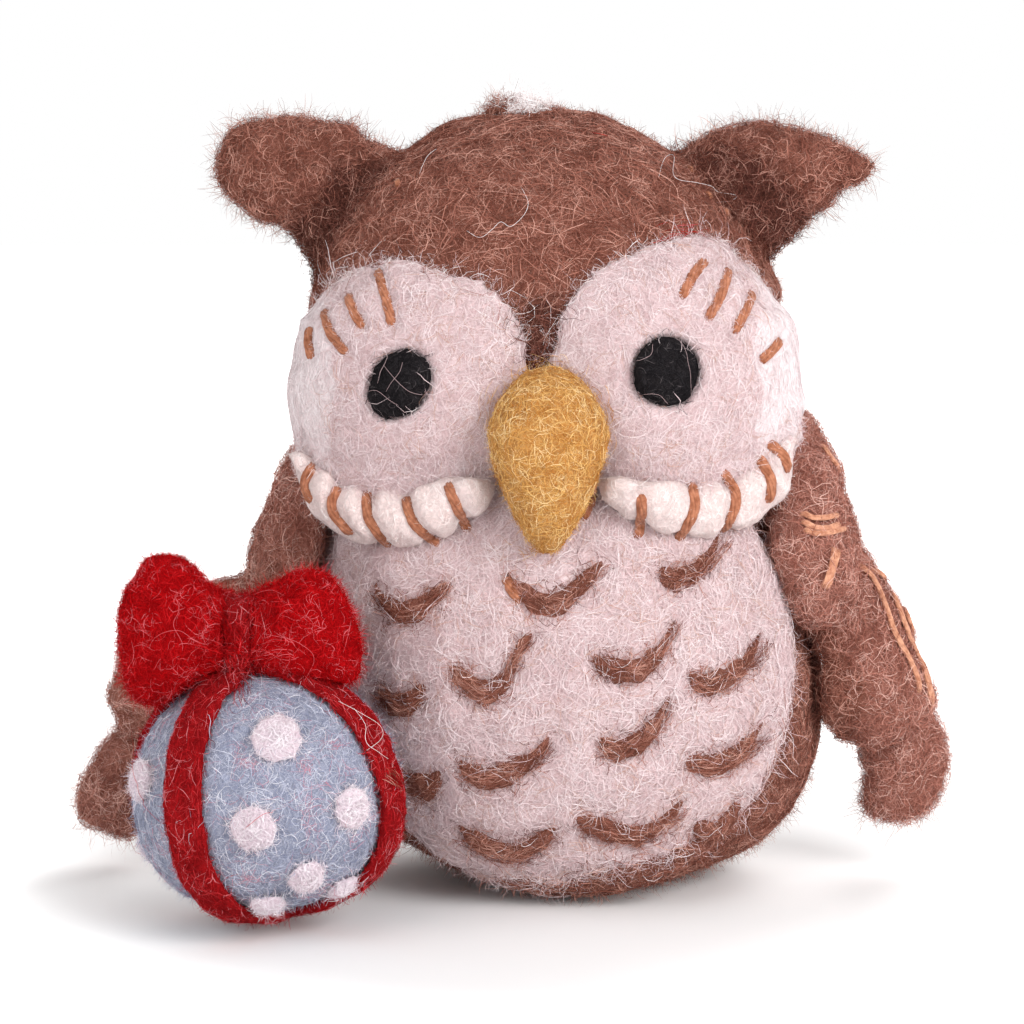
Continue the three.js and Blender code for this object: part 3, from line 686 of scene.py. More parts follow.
def sew(name, body, stitches, material, width=FLOSS_WIDTH, height=STITCH_HEIGHT):
    """One piece of all the stitches of a group."""
    routes = []
    for pixels in stitches:
        strands, radius = stitch_routes(surfaces[body], pixels, width, height)
        routes += strands
    add_piece(name, tubes_mesh(name, routes, radius, STRAND_SIDES, material), body)


# Single stray hairs, over the photograph's pixels. Each lies on the wool and arches a little off it

HAIR_WIDTH = 0.045 * MM
EYE_HAIR_WIDTH = 0.028 * MM
HAIR_SIDES = 4
HAIR_BASE = 0.15 * MM
HAIR_ARCH = 0.45 * MM
WHITE_HAIRS = [
    [
        (467, 231), (481, 239), (494, 230), (502, 223), (510, 230), (523, 219), (529, 206),
        (524, 193), (521, 188),
    ],
    [
        (658, 179), (663, 160), (673, 158), (670, 176), (677, 184), (701, 187), (736, 196),
        (730, 201), (716, 203),
    ],
    [(420, 175), (428, 163), (437, 150)],
    [(543, 345), (547, 333), (558, 316)],
    [(320, 250), (323, 268), (330, 284), (333, 292)],
    [(331, 284), (339, 270), (350, 267)],
    [(353, 709), (362, 726), (365, 740), (374, 752), (387, 759)],
    [(338, 702), (355, 714), (377, 728), (379, 740), (367, 750)],
]
EYE_HAIRS = [
    [(385, 366), (397, 379), (411, 391), (422, 394)],
    [(369, 392), (380, 390), (388, 396), (399, 405)],
    [(403, 363), (402, 373), (394, 382), (387, 391)],
    [(436, 363), (429, 373), (427, 386), (422, 397)],
    [(653, 345), (651, 356), (641, 362), (634, 360)],
    [(675, 337), (683, 352), (687, 373), (690, 396)],
    [(638, 397), (648, 391), (660, 394), (668, 403)],
]
PINK_HAIRS = [
    [(150, 648), (157, 637), (177, 630), (191, 637), (206, 644), (215, 637)],
    [(173, 593), (179, 610), (173, 624), (183, 644), (182, 651)],
    [(248, 605), (256, 598), (273, 594), (285, 597)],
    [(259, 633), (280, 637), (302, 644), (314, 656), (305, 680)],
    [(342, 653), (344, 637), (350, 620)],
]
RED_HAIRS = [
    [(676, 231), (687, 235), (697, 234), (706, 239)],
    [(682, 240), (690, 233), (700, 237)],
    [(592, 134), (600, 139), (607, 137)],
    [(132, 726), (135, 757), (142, 793), (155, 815), (165, 824)],
    [(244, 829), (259, 817), (273, 812)],
]


def add_hairs(name, wool, shade, routes, width=HAIR_WIDTH):
    """Single hairs as thin closed tubes, of one shade of a wool."""
    tubes = []
    for pixels in routes:
        places, normals = seen_route(surfaces["owl"], pixels)
        rise = HAIR_BASE + HAIR_ARCH * np.sin(np.linspace(0, math.pi, len(places)))
        places = places + normals * rise[:, None]
        tubes.append((places, *framed(places, normals)))
    mesh = tubes_mesh(name, tubes, width / 2, HAIR_SIDES, wool["fibres"][shade])
    add_piece(name, mesh, "owl")


# Fibres: every fibre is a thin ribbon along a line of points. Mat lies on a piece, fuzz stands off it
# and laid wool is put on along listed routes

MAT_STEPS = 5
FUZZ_STEPS = 4
# How much thinner the ends of a fibre are, and how far it is turned about its line, in radians.
RIBBONS = {"mat": (0.75, 0.5), "fuzz": (0.7, 1.5), "laid": (0.75, 0.8)}
# How much single fibres differ in width, in length and in lift.
WIDTHS = (0.7, 1.3)
MAT_LENGTHS = (0.6, 1.4)
FUZZ_LENGTHS = (0.4, 1.3)
MAT_LIFTS = (0.2, 1.0)
# Fibres grow where nothing is over the felt between these heights.
COVER_START = 0.1 * MM
COVER_REACH = 1.2 * MM
# How deep the ends of mat and the roots of fuzz are in the felt.
MAT_SUNK = 0.04 * MM
FUZZ_SUNK = 0.1 * MM
# A step of mat finds the felt from this height, and goes onto it where it faces about the same way.
SEARCH_HEIGHT = 0.5 * MM
LEAST_ALIKE = 0.2
# How fibres wander: mat as a share of its curl, fuzz by so much a step.
MAT_WANDER = 0.8
FUZZ_WANDER = 0.12
# No fibre goes under the table top.
FLOOR_CLEARANCE = 0.05 * MM
# A piece of fleece holds at most this many triangles.
FLEECE_LIMIT = 190_000
# The clouds of like shades: how strong and how wide each kind is.
CLOUDS = [(0.6, 2.4 * MM), (0.9, 0.7 * MM)]
TOP_DRAW = 0.999


def ribbon_mesh(name, lines, across, materials, shades):
    """A mesh of ribbons: lines is (fibre, point, xyz) and across the half width at each point."""
    count, steps = lines.shape[:2]
    points = np.stack([lines - across, lines + across], axis=2).reshape(-1, 3)
    first = (np.arange(count)[:, None] * steps + np.arange(steps - 1)[None, :]).ravel() * 2
    quads = np.stack([first, first + 2, first + 3, first + 1], axis=1)
    mesh = bpy.data.meshes.new(name)
    mesh.vertices.add(len(points))
    mesh.vertices.foreach_set("co", points.astype(np.float32).ravel())
    mesh.loops.add(len(quads) * 4)
    mesh.loops.foreach_set("vertex_index", quads.astype(np.int32).ravel())
    mesh.polygons.add(len(quads))
    mesh.polygons.foreach_set("loop_start", np.arange(0, len(quads) * 4, 4, dtype=np.int32))
    for material in materials:
        mesh.materials.append(material)
    mesh.polygons.foreach_set("material_index", np.repeat(shades, steps - 1).astype(np.int32))
    mesh.update(calc_edges=True)
    mesh.shade_smooth()
    return mesh


def turned(vectors, axes, angles):
    """The vectors turned about unit axes square to them."""
    return vectors * np.cos(angles)[:, None] + np.cross(axes, vectors) * np.sin(angles)[:, None]


def roots_on(obj, density, cover, chosen):
    """Random places on a piece, with normals: density to the square millimetre, none where covered."""
    a, b, c = points_of(obj)[triangles_of(obj).T]
    normals = np.cross(b - a, c - a)
    areas = np.linalg.norm(normals, axis=1) / 2
    wanted = int(density * areas.sum() / MM**2)
    picks = rng.choice(len(areas), wanted, p=areas / areas.sum())
    u, v = rng.random((2, wanted))
    over = u + v > 1
    u[over], v[over] = 1 - u[over], 1 - v[over]
    places = a[picks] + (b - a)[picks] * u[:, None] + (c - a)[picks] * v[:, None]
    ways = unit(normals[picks])
    if chosen is not None:
        kept = chosen(places)
        places, ways = places[kept], ways[kept]
    open_air = [
        cover.tree.ray_cast(Vector(p + n * COVER_START), Vector(n), COVER_REACH)[0] is None
        for p, n in zip(places, ways)
    ]
    return places[open_air], ways[open_air]


def tangents(normals, flow):
    """Random ways along the surface; flow is a favoured way in space and how strongly it draws."""
    ways = unit(np.cross(normals, rng.normal(size=normals.shape)))
    if flow is not None:
        wanted, pull = flow
        wanted = np.cross(normals, np.asarray(wanted, float))
        sense = np.sign((ways * wanted).sum(1, keepdims=True))
        ways = unit(ways + pull * rng.random((len(ways), 1)) * sense * wanted)
    return ways


def half_widths(lines, normals, width, kind):
    """The sideways half width of each ribbon at each point, thinning to its ends."""
    taper, roll = RIBBONS[kind]
    along = unit(np.gradient(lines, axis=1))
    side = unit(np.cross(along, normals))
    turn = rng.normal(0, roll, len(lines))[:, None, None]
    side = side * np.cos(turn) + np.cross(along, side) * np.sin(turn)
    level = np.linspace(-1, 1, lines.shape[1])[None, :, None]
    full = rng.uniform(*WIDTHS, (len(lines), 1, 1)) * width / 2
    return side * full * (1 - taper * level**2)


def lying_lines(surface, wool, places, normals, length, curl, lift, flow, strays):
    """Lines that wander over the surface, arching a little off it in their middle.

    strays is the share kept of those that stray onto wool of another kind.
    """
    count = len(places)
    ways = tangents(normals, flow)
    reach = length * MM * rng.uniform(*MAT_LENGTHS, count) / MAT_STEPS
    bend = rng.normal(0, curl, count) * reach / MM
    rise = lift * MM * rng.uniform(*MAT_LIFTS, count)
    lines, facing = np.zeros((2, count, MAT_STEPS + 1, 3))
    spot, normal = places.copy(), normals.copy()
    strayed = np.zeros(count, bool)
    for step in range(MAT_STEPS + 1):
        arch = math.sin(math.pi * step / MAT_STEPS)
        lines[:, step] = spot + normal * (rise * arch - MAT_SUNK)[:, None]
        facing[:, step] = normal
        if step == MAT_STEPS:
            break
        ways = turned(ways, normal, bend + rng.normal(0, curl * MAT_WANDER, count) * reach / MM)
        ahead = spot + ways * reach[:, None]
        query = ahead + normal * SEARCH_HEIGHT
        for i in range(count):
            place, found, face, _ = surface.tree.find_nearest(query[i])
            if place is not None and found.dot(Vector(normal[i])) > LEAST_ALIKE:
                spot[i], normal[i] = place, found
                strayed[i] |= surface.wools[face] != wool
            else:
                spot[i] = ahead[i]
        ways = unit(ways - normal * (ways * normal).sum(1, keepdims=True))
    kept = ~strayed | (rng.random(count) < strays)
    return lines[kept], facing[kept]


def loose_lines(places, normals, length, curl, spread):
    """Lines that stand off the surface and curl in the air."""
    count = len(places)
    ways = unit(normals + spread * rng.random((count, 1)) * unit(rng.normal(size=normals.shape)))
    axes = unit(np.cross(ways, rng.normal(size=ways.shape)))
    reach = length * MM * rng.uniform(*FUZZ_LENGTHS, count) / FUZZ_STEPS
    bend = rng.normal(0, curl, count) * reach / MM
    lines = np.zeros((count, FUZZ_STEPS + 1, 3))
    spot = places - normals * FUZZ_SUNK
    for step in range(FUZZ_STEPS + 1):
        lines[:, step] = spot
        ways = unit(turned(ways, axes, bend) + rng.normal(0, FUZZ_WANDER, ways.shape))
        axes = unit(np.cross(ways, np.cross(axes, ways)))
        spot = spot + ways * reach[:, None]
    return lines, np.repeat(normals[:, None, :], FUZZ_STEPS + 1, axis=1)


def shades_of(wool, lines):
    """A shade for each fibre: fibres that lie together are more alike."""
    cloud = lumps(lines[:, lines.shape[1] // 2], CLOUDS)
    draw = np.clip(rng.random(len(lines)) + wool["cloud"] * cloud, 0, TOP_DRAW)
    return np.searchsorted(np.cumsum(wool["shares"])[:-1], draw, side="right")


def add_fleece(name, body, wool, lines, across):
    """The ribbons as pieces that ride a body, split where there are too many for one piece."""
    lines[..., 2] = np.maximum(lines[..., 2], FLOOR_CLEARANCE)
    shades = shades_of(wool, lines)
    each = (lines.shape[1] - 1) * 2
    room = FLEECE_LIMIT // each
    for part, start in enumerate(range(0, len(lines), room)):
        chosen = slice(start, start + room)
        piece_name = name if part == 0 else f"{name}_{part + 1}"
        mesh = ribbon_mesh(piece_name, lines[chosen], across[chosen], wool["fibres"], shades[chosen])
        add_piece(piece_name, mesh, body)


# Coats of fleece for each kind of piece. mat is the fibres lying on it and fuzz those standing off
# it: density to the square millimetre, length and width in millimetres, curl in radians a
# millimetre, and then mat's lift in millimetres or how far fuzz spreads. flow is a way that mat
# crosses and how strongly, and strays the share kept of mat that strays onto other wool

def coat(mat, fuzz, flow=None, strays=0.22):
    """The values of a coat, by name."""
    names = ("density", "length", "width", "curl")
    return {
        "mat": dict(zip((*names, "lift"), mat), flow=flow, strays=strays),
        "fuzz": dict(zip((*names, "spread"), fuzz)),
    }


TIP_COAT = coat((5.2, 4, 0.061, 0.9, 0.9), (15.8, 3, 0.036, 2.2, 1.4))
COATS = {
    "head": coat((5.9, 5, 0.061, 0.35, 0.45), (7.9, 1.4, 0.036, 2.2, 1.8), ((0, 1, 0), 1.2)),
    "torso": coat((4.4, 4.6, 0.066, 0.5, 0.4), (6.5, 1.9, 0.036, 2.2, 1.8)),
    "ear": coat((5.2, 3.4, 0.061, 0.7, 0.7), (15.8, 2.7, 0.036, 2.2, 1.4)),
    "wing": coat((5.2, 4.6, 0.061, 0.9, 0.8), (11.5, 2.3, 0.036, 2.4, 1.5)),
    "wing_right_tip": TIP_COAT,
    "wing_left_tip": TIP_COAT,
    "face": coat((6.7, 3.8, 0.05, 0.5, 0.35), (7.2, 1.5, 0.031, 2.2, 1.7)),
    "belly": coat((6.7, 4.4, 0.052, 0.5, 0.5), (6.5, 1.7, 0.031, 2.4, 1.8), strays=0.12),
    "ruff": coat((4.4, 2.6, 0.05, 0.12, 0.08), (2.9, 0.8, 0.031, 2, 1.8), ((1, 0, 0), 2), 0.1),
    "beak": coat((8.1, 3, 0.057, 0.9, 0.35), (8.6, 1.1, 0.036, 2.2, 1.6)),
    "eye": coat((6.7, 1.8, 0.066, 0.7, 0.15), (4.3, 0.7, 0.039, 2, 1.6), strays=0.1),
    "bow": coat((7.4, 2.6, 0.055, 1, 0.4), (20.2, 1.6, 0.036, 2.2, 1.4), strays=0.3),
    "egg": coat((7.4, 3.4, 0.047, 0.9, 0.35), (6.5, 1.3, 0.031, 2.4, 1.8), strays=0.3),
    "egg_ribbon": coat((8.1, 3, 0.055, 0.4, 0.25), (7.2, 0.9, 0.036, 2.2, 1.7), ((1, 0, 0), 1.5), 0.3),
    "egg_dot": coat((10.4, 2, 0.05, 0.6, 0.3), (17.3, 1.1, 0.033, 2.2, 1.7), strays=0.9),
    "feather": coat((8.1, 2.6, 0.055, 0.8, 0.3), (11.5, 1.3, 0.036, 2.2, 1.8), strays=0.75),
    "crown": coat((8.9, 3, 0.055, 1, 0.8), (28.8, 2.6, 0.039, 1.8, 1.6), strays=0.6),
}
# The whiter outer rims of the face discs, the curly fringe of the discs' edges on the head, the
# fringe that they hang over the ruffs, and the hollows where the ears meet the head, whose darker wool
# partly paints their shade.
RIM_COAT = coat((4.4, 4, 0.055, 0.15, 0.12), (2.9, 0.9, 0.033, 2, 1.8), ((0, 1, 0), 3))
FRINGE_COAT = coat((1.2, 4.2, 0.05, 1.3, 0.5), (2.2, 1.5, 0.036, 2, 1.6), strays=1)
HEM_COAT = coat((4.4, 3.2, 0.05, 0.9, 0.5), (7.2, 1.6, 0.033, 2, 1.6), strays=1)
HOLLOW_COAT = coat((6.7, 4, 0.061, 0.7, 1.1), (13, 2.2, 0.039, 2, 1.5), strays=0.6)
# How near to the head and to the ruffs the discs' fringes grow.
FRINGE_REACH = 1.5 * MM
HEM_REACH = 1.8 * MM


def coat_of(name):
    """The coat under the longest name that this one starts with."""
    return COATS[max((start for start in COATS if name.startswith(start)), key=len)]


def group_of(name):
    """The fleece of small pieces that repeat is gathered in one piece."""
    for repeated in ("feather_mark", "egg_dot"):
        if name.startswith(repeated):
            return repeated + "s"
    return name


# Areas of a piece that are of another wool, some of them darker wool that paints shade. Each has a
# measure of how far places are inside it, its line wavers, and the two wools' fibres mix over the line

AREA_WAVER = 1.6 * MM
AREA_WAVE_WIDTH = 4.5 * MM
AREA_BLUR = 0.8 * MM
# Where the rim of a face disc starts, as a share of the way from its middle to its outer edge.
RIM_START = 0.62
# The lower edge of the pale wool on the belly patch, and the line between the tuft's two wools.
BELLY_HEM = [
    (400, 850), (440, 868), (500, 882), (560, 883), (605, 875), (649, 863),
    (693, 844), (731, 828), (752, 797), (767, 767), (781, 744), (790, 700),
]
TUFT_PARTING = 508
# How far the darker brown, painted shade under the shoulder, reaches over the free wing from its inner
# edge, as (y, x).
WING_SHADE_EDGE = [(560, 795), (620, 830), (660, 856), (700, 864), (735, 850), (770, 835)]
# The fold between the discs, where darker wool paints shade: its lowest column, its row there, how it
# climbs to both sides, how far it goes to the sides, and the row that it ends at.
FOLD_X, FOLD_Y, FOLD_SLOPE, FOLD_HALF, FOLD_END = 545, 300, 0.6, 40, 400
# The pale wool beside the belly patch: its left, its right and its lowest pixel.
BESIDE_LEFT, BESIDE_RIGHT, BESIDE_LOW = 300, 400, 660
# The hollows by the ears: the piece that each is near to, how near, and its top row.
# Their felt and fibres are darker wool that partly paints the shade in these hollows.
HOLLOWS = {
    "head": ("ear_left", 2.4 * MM, 172),
    "ear_left": ("head", 2.6 * MM, 172),
    "ear_right": ("head", 6.5 * MM, 150),
}
FAR_OUTSIDE = -1


def across_edge(edge, values):
    """Where an edge of pixels lies, for values of its first number."""
    return np.interp(values, *np.transpose(edge))


def rim_measure(side):
    low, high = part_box("face_disc_" + side)
    middle, half = (low[0] + high[0]) / 2, (high[0] - low[0]) / 2
    return lambda places: (places[:, 0] - middle) * OUTWARD[side] - RIM_START * half


def near_measure(names, reach):
    """Inside where a piece is nearer than reach to others."""
    tree = Surface([SKINS[name] for name in names]).tree
    return lambda places: reach - np.array([tree.find_nearest(place)[3] for place in places])


def ear_hollow(name):
    """Inside near the other piece of a hollow, below its top row."""
    other, reach, top = HOLLOWS[name]
    near = near_measure([other], reach)
    return lambda places: np.minimum(near(places), (pixels_of(places)[1] - top) * PIXEL)


def head_hollow():
    """Inside where the head meets the viewer's left ear, and in the fold between the discs: painted
    shade.
    """
    by_ear = ear_hollow("head")

    def measure(places):
        x, y = pixels_of(places)
        aside = np.abs(x - FOLD_X)
        fold = (y - FOLD_Y - FOLD_SLOPE * aside) * PIXEL
        in_fold = (places[:, 1] < 0) & (aside < FOLD_HALF) & (y < FOLD_END)
        return np.maximum(by_ear(places), np.where(in_fold, fold, FAR_OUTSIDE))

    return measure


def wing_shade_area(places):
    """Inside on the free wing's inner part, under its shoulder, where brown paints its shade."""
    x, y = pixels_of(places)
    return (across_edge(WING_SHADE_EDGE, y) - x) * PIXEL


def beside_belly(places):
    """Inside on the torso's front, at the viewer's left of the belly patch and above the bow."""
    x, y = pixels_of(places)
    inside = np.minimum.reduce([x - BESIDE_LEFT, BESIDE_RIGHT - x, BESIDE_LOW - y]) * PIXEL
    return np.where(places[:, 1] < 0, inside, FAR_OUTSIDE)


def under_hem(places):
    x, y = pixels_of(places)
    return (y - across_edge(BELLY_HEM, x)) * PIXEL


def left_of_parting(places):
    return (TUFT_PARTING - pixels_of(places)[0]) * PIXEL


def make_areas():
    """For each piece of two wools: the second wool, its coat and its measure."""
    return {
        "face_disc_left": ("rim", RIM_COAT, rim_measure("left")),
        "face_disc_right": ("rim", RIM_COAT, rim_measure("right")),
        "torso": ("pale", COATS["belly"], beside_belly),
        "belly_patch": ("brown", COATS["torso"], under_hem),
        "crown_tuft": ("brown", COATS["crown"], left_of_parting),
        # Darker wool in the hollows by the ears and the fold between the discs: partly painted shade.
        "ear_left": ("umber", HOLLOW_COAT, ear_hollow("ear_left")),
        "ear_right": ("umber", HOLLOW_COAT, ear_hollow("ear_right")),
        "head": ("umber", HOLLOW_COAT, head_hollow()),
        # Darker brown under the free wing's shoulder: painted shade.
        "wing_right_feathers": ("brown", COATS["wing"], wing_shade_area),
    }


def within(measure, places, blur=0.0):
    """Which places are in an area."""
    waver = np.array([noise.noise(Vector(place / AREA_WAVE_WIDTH)) for place in places])
    return measure(places) + AREA_WAVER * waver + rng.normal(0, 1, len(places)) * blur > 0


def felt_areas():
    """The felt of each area is of its wool, under the fibres too."""
    for name, (wool, _, measure) in areas.items():
        mesh = SKINS[name].data
        mesh.materials.append(WOOLS[wool]["felt"])
        inside = within(measure, read(mesh.polygons, "center"))
        mesh.polygons.foreach_set("material_index", inside.astype(np.int32))


def grow(grown, name, coat, wool, chosen=None):
    """Adds a skin's mat and fuzz to what has grown; chosen picks among the roots."""
    obj = SKINS[name]
    body = obj["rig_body"]
    label = group_of(name) if wool == obj["wool"] else f"{name}_{wool}"
    for kind, values in coat.items():
        more = dict(values)
        places, normals = roots_on(obj, more.pop("density"), surfaces[body], chosen)
        width = more.pop("width") * MM
        if kind == "mat":
            lines, facing = lying_lines(surfaces[body], obj["wool"], places, normals, **more)
        else:
            lines, facing = loose_lines(places, normals, **more)
        across = half_widths(lines, facing, width, kind)
        grown.setdefault((kind, label, body, wool), []).append((lines, across))


def dress():
    """Mat and fuzz on every skin."""
    grown = {}
    for name, obj in SKINS.items():
        if name not in areas:
            grow(grown, name, coat_of(name), obj["wool"])
            continue
        wool, area_coat, measure = areas[name]

        def inside(places):
            return within(measure, places, AREA_BLUR)

        grow(grown, name, coat_of(name), obj["wool"], lambda places: ~inside(places))
        grow(grown, name, area_coat, wool, inside)
    by_head = near_measure(["head"], FRINGE_REACH)
    by_ruffs = near_measure(["ruff_left", "ruff_right"], HEM_REACH)
    for name in ("face_disc_left", "face_disc_right"):
        grow(grown, name, FRINGE_COAT, "white", lambda places: by_head(places) > 0)
        grow(grown, name, HEM_COAT, "pale", lambda places: by_ruffs(places) > 0)
    for (kind, label, body, wool), parts in grown.items():
        add_fleece(f"{kind}_{label}", body, WOOLS[wool], *columns(parts, np.vstack))


# Wool laid along listed routes, over the photograph's pixels

CHORD_ANGLES = (0.4, 1.5, 2.5)


def chords(x, y, radius):
    """Routes of pixels straight across a round place, at three angles."""
    ways = [(radius * math.cos(angle), radius * math.sin(angle)) for angle in CHORD_ANGLES]
    return [[(x - right, y - down), (x, y), (x + right, y + down)] for right, down in ways]


MARK_ROUTES = [
    [(370, 592), (382, 604), (402, 613), (425, 604), (451, 585)],
    [(506, 578), (519, 592), (545, 604), (563, 601), (586, 581), (604, 569)],
    [(660, 577), (682, 579), (706, 566), (727, 542)],
    [(448, 672), (467, 684), (485, 693), (506, 679), (517, 654), (531, 640)],
    [(592, 660), (607, 670), (636, 670), (658, 657), (671, 636), (679, 625)],
    [(690, 678), (711, 686), (738, 673), (760, 657), (768, 644)],
    [(375, 695), (398, 705), (421, 695)],
    [(456, 770), (485, 779), (517, 770), (538, 756), (550, 741)],
    [(599, 746), (620, 751), (647, 735), (660, 719), (669, 703)],
    [(688, 768), (720, 768), (747, 752), (770, 735)],
    [(388, 772), (402, 785), (424, 792), (440, 778)],
    [(456, 838), (482, 847), (511, 858), (535, 847), (558, 835)],
    [(576, 826), (605, 829), (635, 838), (664, 826), (684, 808)],
]
# The egg's near dots: x, y and radius.
DOT_PLACES = [
    (277, 739, 12), (145, 781, 9), (351, 808, 10), (254, 828, 11), (307, 877, 9), (269, 910, 8),
    (348, 897, 8),
]
# The wool, how many fibres each route has, how long they are and how far aside they lie, in
# millimetres, and the routes.
LAID = {
    "marks": ("brown", 130, 2.6, 0.42, MARK_ROUTES),
    "mark_edges": ("pale", 22, 2.2, 1.7, MARK_ROUTES),
    "dots": ("dot", 60, 1.5, 0.7, [chord for dot in DOT_PLACES for chord in chords(*dot)]),
    "knot": ("ribbon", 150, 2.6, 0.9, [
        [(216, 605), (224, 640), (236, 682), (244, 700)],
        [(264, 605), (256, 640), (247, 690)],
        [(239, 600), (240, 640), (239, 692)],
    ]),
    "bow_folds": ("red", 110, 3, 0.8, [
        [(205, 600), (222, 620), (236, 650)],
        [(196, 645), (220, 648), (240, 655)],
        [(272, 605), (258, 625), (246, 655)],
        [(285, 650), (262, 652), (246, 660)],
    ]),
    "beak_edge": ("ochre", 36, 2.2, 0.6, [
        [(498, 388), (488, 430), (492, 470), (505, 510)],
        [(515, 374), (545, 363), (575, 372)],
        [(600, 392), (609, 425), (600, 465)],
        [(520, 541), (534, 554), (550, 545)],
    ]),
    "blush": ("red", 26, 1.8, 0.7, [[(655, 236), (672, 229), (692, 232)]]),
}
LAID_WIDTH = 0.05 * MM
LAID_BASE = 0.12 * MM
LAID_ARCH = 0.3 * MM
# A fibre may go beyond its route by this share of its length.
LAID_BEYOND = 0.4
# How much it is askew and bent, as a share of how far aside it lies.
LAID_ASKEW = 0.5
# A fibre that would leap further than this between its points isn't laid.
LAID_GAP = 1.6 * MM


def laid_lines(surface, pixels, count, length, aside):
    """Fibres that lie along a route of pixels, each somewhat beside it and askew of it."""
    route = smooth_route(pixels, 1)
    share = np.linspace(0, 1, MAT_STEPS + 1)
    bulge = np.sin(math.pi * share)
    lines, facing = [], []
    for _ in range(count):
        reach = length * MM / PIXEL * rng.uniform(*MAT_LENGTHS)
        start = rng.uniform(-LAID_BEYOND * reach, len(route) - (1 - LAID_BEYOND) * reach)
        along = start + reach * share
        drift = rng.normal(0, LAID_ASKEW, (3, 2)) * (aside * MM / PIXEL)
        spots = np.stack([np.interp(along, np.arange(len(route)), v) for v in route.T], axis=1)
        spots += drift[0] / LAID_ASKEW + np.outer(2 * share - 1, drift[1]) + np.outer(bulge, drift[2])
        places, normals = columns(surface.seen(spot) for spot in spots)
        if np.linalg.norm(np.diff(places, axis=0), axis=1).max() < LAID_GAP:
            lines.append(places + normals * (LAID_BASE + LAID_ARCH * bulge)[:, None])
            facing.append(normals)
    return np.array(lines), np.array(facing)


def lay_wool():
    for name, (wool, count, length, aside, routes) in LAID.items():
        laid = [laid_lines(surfaces["owl"], pixels, count, length, aside) for pixels in routes]
        lines, facing = columns(laid, np.vstack)
        across = half_widths(lines, facing, LAID_WIDTH, "laid")
        add_fleece("laid_" + name, "owl", WOOLS[wool], lines, across)


# Edges in the photograph that pieces are drawn in to: the tops of the ruffs, which the face discs
# overhang, as (x, y), and the outer sides of the ruffs and of the bow's loop, as (y, x).
RUFF_TOPS = {
    "left": [(300, 456), (315, 464), (336, 483), (368, 491), (407, 493), (448, 481), (495, 483)],
    "right": [(590, 484), (620, 481), (640, 487), (690, 483), (725, 470), (760, 455), (790, 437)],
}
RUFF_SIDES = {
    "left": [(440, 288), (455, 293), (470, 300), (482, 303), (505, 310), (520, 320)],
    "right": [(425, 798), (440, 793), (452, 788), (472, 789), (490, 787), (505, 776)],
}
LOOP_SIDE = [(560, 312), (576, 328), (599, 343), (632, 356), (668, 363), (692, 358)]
DRAWN_SHARE = 0.85
# Where felt is pulled beyond its CAD solid's plain form: the pixel that it shows at, and how far it
# is pulled to the right and down.
PULLS = {
    "face_disc_left": [
        (315, 280, 6, 16), (306, 296, 2, 14), (329, 268, 6, 12), (347, 260, 4, 9), (365, 256, 3, 7),
        (475, 291, 8, -10), (496, 312, 10, -9), (514, 335, 10, -6), (297, 335, 6, 0),
        (292, 355, 4, 0),
    ],
    "face_disc_right": [
        (556, 359, -7, -1), (565, 322, -8, -2), (577, 298, -7, -4), (595, 276, -6, -5),
        (748, 252, -6, 10), (764, 268, -7, 13), (776, 290, -7, 10), (800, 410, 7, 1),
        (796, 432, 7, 2),
    ],
    "head": [
        (302, 270, 9, 0), (395, 135, 0, 12), (418, 129, 0, 9), (556, 112, 0, -5), (600, 118, 0, -6),
        (762, 285, 12, 7), (678, 149, -8, -2),
    ],
    "ear_left": [(280, 240, 4, -9), (297, 252, 9, -2), (374, 128, 0, 11), (395, 135, 0, 12)],
    "ear_right": [
        (707, 124, 1, 7), (726, 116, 0, 7), (859, 138, 1, 11), (867, 150, 9, 13), (859, 167, 6, 10),
        (811, 225, 0, -8),
    ],
    "wing_right_feathers": [
        (907, 606, -1, 0), (926, 652, -6, 3), (832, 751, 2, -10), (845, 756, 7, -13),
    ],
    "wing_right_tip": [(845, 756, 13, -7), (848, 775, 12, 0)],
    "bow_loop_left": [(129, 568, 6, 6), (180, 560, 7, 1), (218, 578, 2, 12)],
    "bow_loop_right": [
        (330, 553, -11, 15), (295, 553, 2, 13), (277, 568, 3, 10), (341, 578, -8, 8),
        (254, 581, 2, 10),
    ],
    "bow_knot": [(239, 578, 0, 14)],
}
PULL_REACH = 20
# How many slices of a feather mark are measured to find its midline.
MARK_SLICES = 8
# Presses, as how deep they go and how far they reach. What is pressed by less than nothing swells.
WING_BY_TORSO = (1.1 * MM, 3 * MM)
DISC_BY_RUFF = (-0.7 * MM, 2.6 * MM)
EAR_AND_HEAD = (-0.6 * MM, 3 * MM)
RUFF_BY_STITCH = (0.5 * MM, 1.9 * MM)
DISC_BY_STITCH = (0.45 * MM, 1.5 * MM)
BELLY_BY_MARK = (0, 2.2 * MM)
# How far the ruffs and the belly patch rise beyond their presses, and how deep the marks are in it.
SWELL = 0.3 * MM
MARK_SUNK = 0.5 * MM


def in_picture(right, down):
    """Ways across the picture, of so many pixels to the right and down, as ways at the owl."""
    return PIXEL * (np.outer(right, camera_right) - np.outer(down, camera_up))


def pull(obj, pulls):
    """Pulls parts of a piece across the picture, less and less over PULL_REACH pixels."""
    points = points_of(obj)
    x, y = pixels_of(points)
    moves, total = np.zeros((2, len(x))), np.zeros(len(x))
    for from_x, from_y, right, down in pulls:
        near = np.exp(-((x - from_x) ** 2 + (y - from_y) ** 2) / PULL_REACH**2)
        moves += np.outer((right, down), near)
        total += near
    set_points(obj, points + in_picture(*moves / np.maximum(total, 1)))


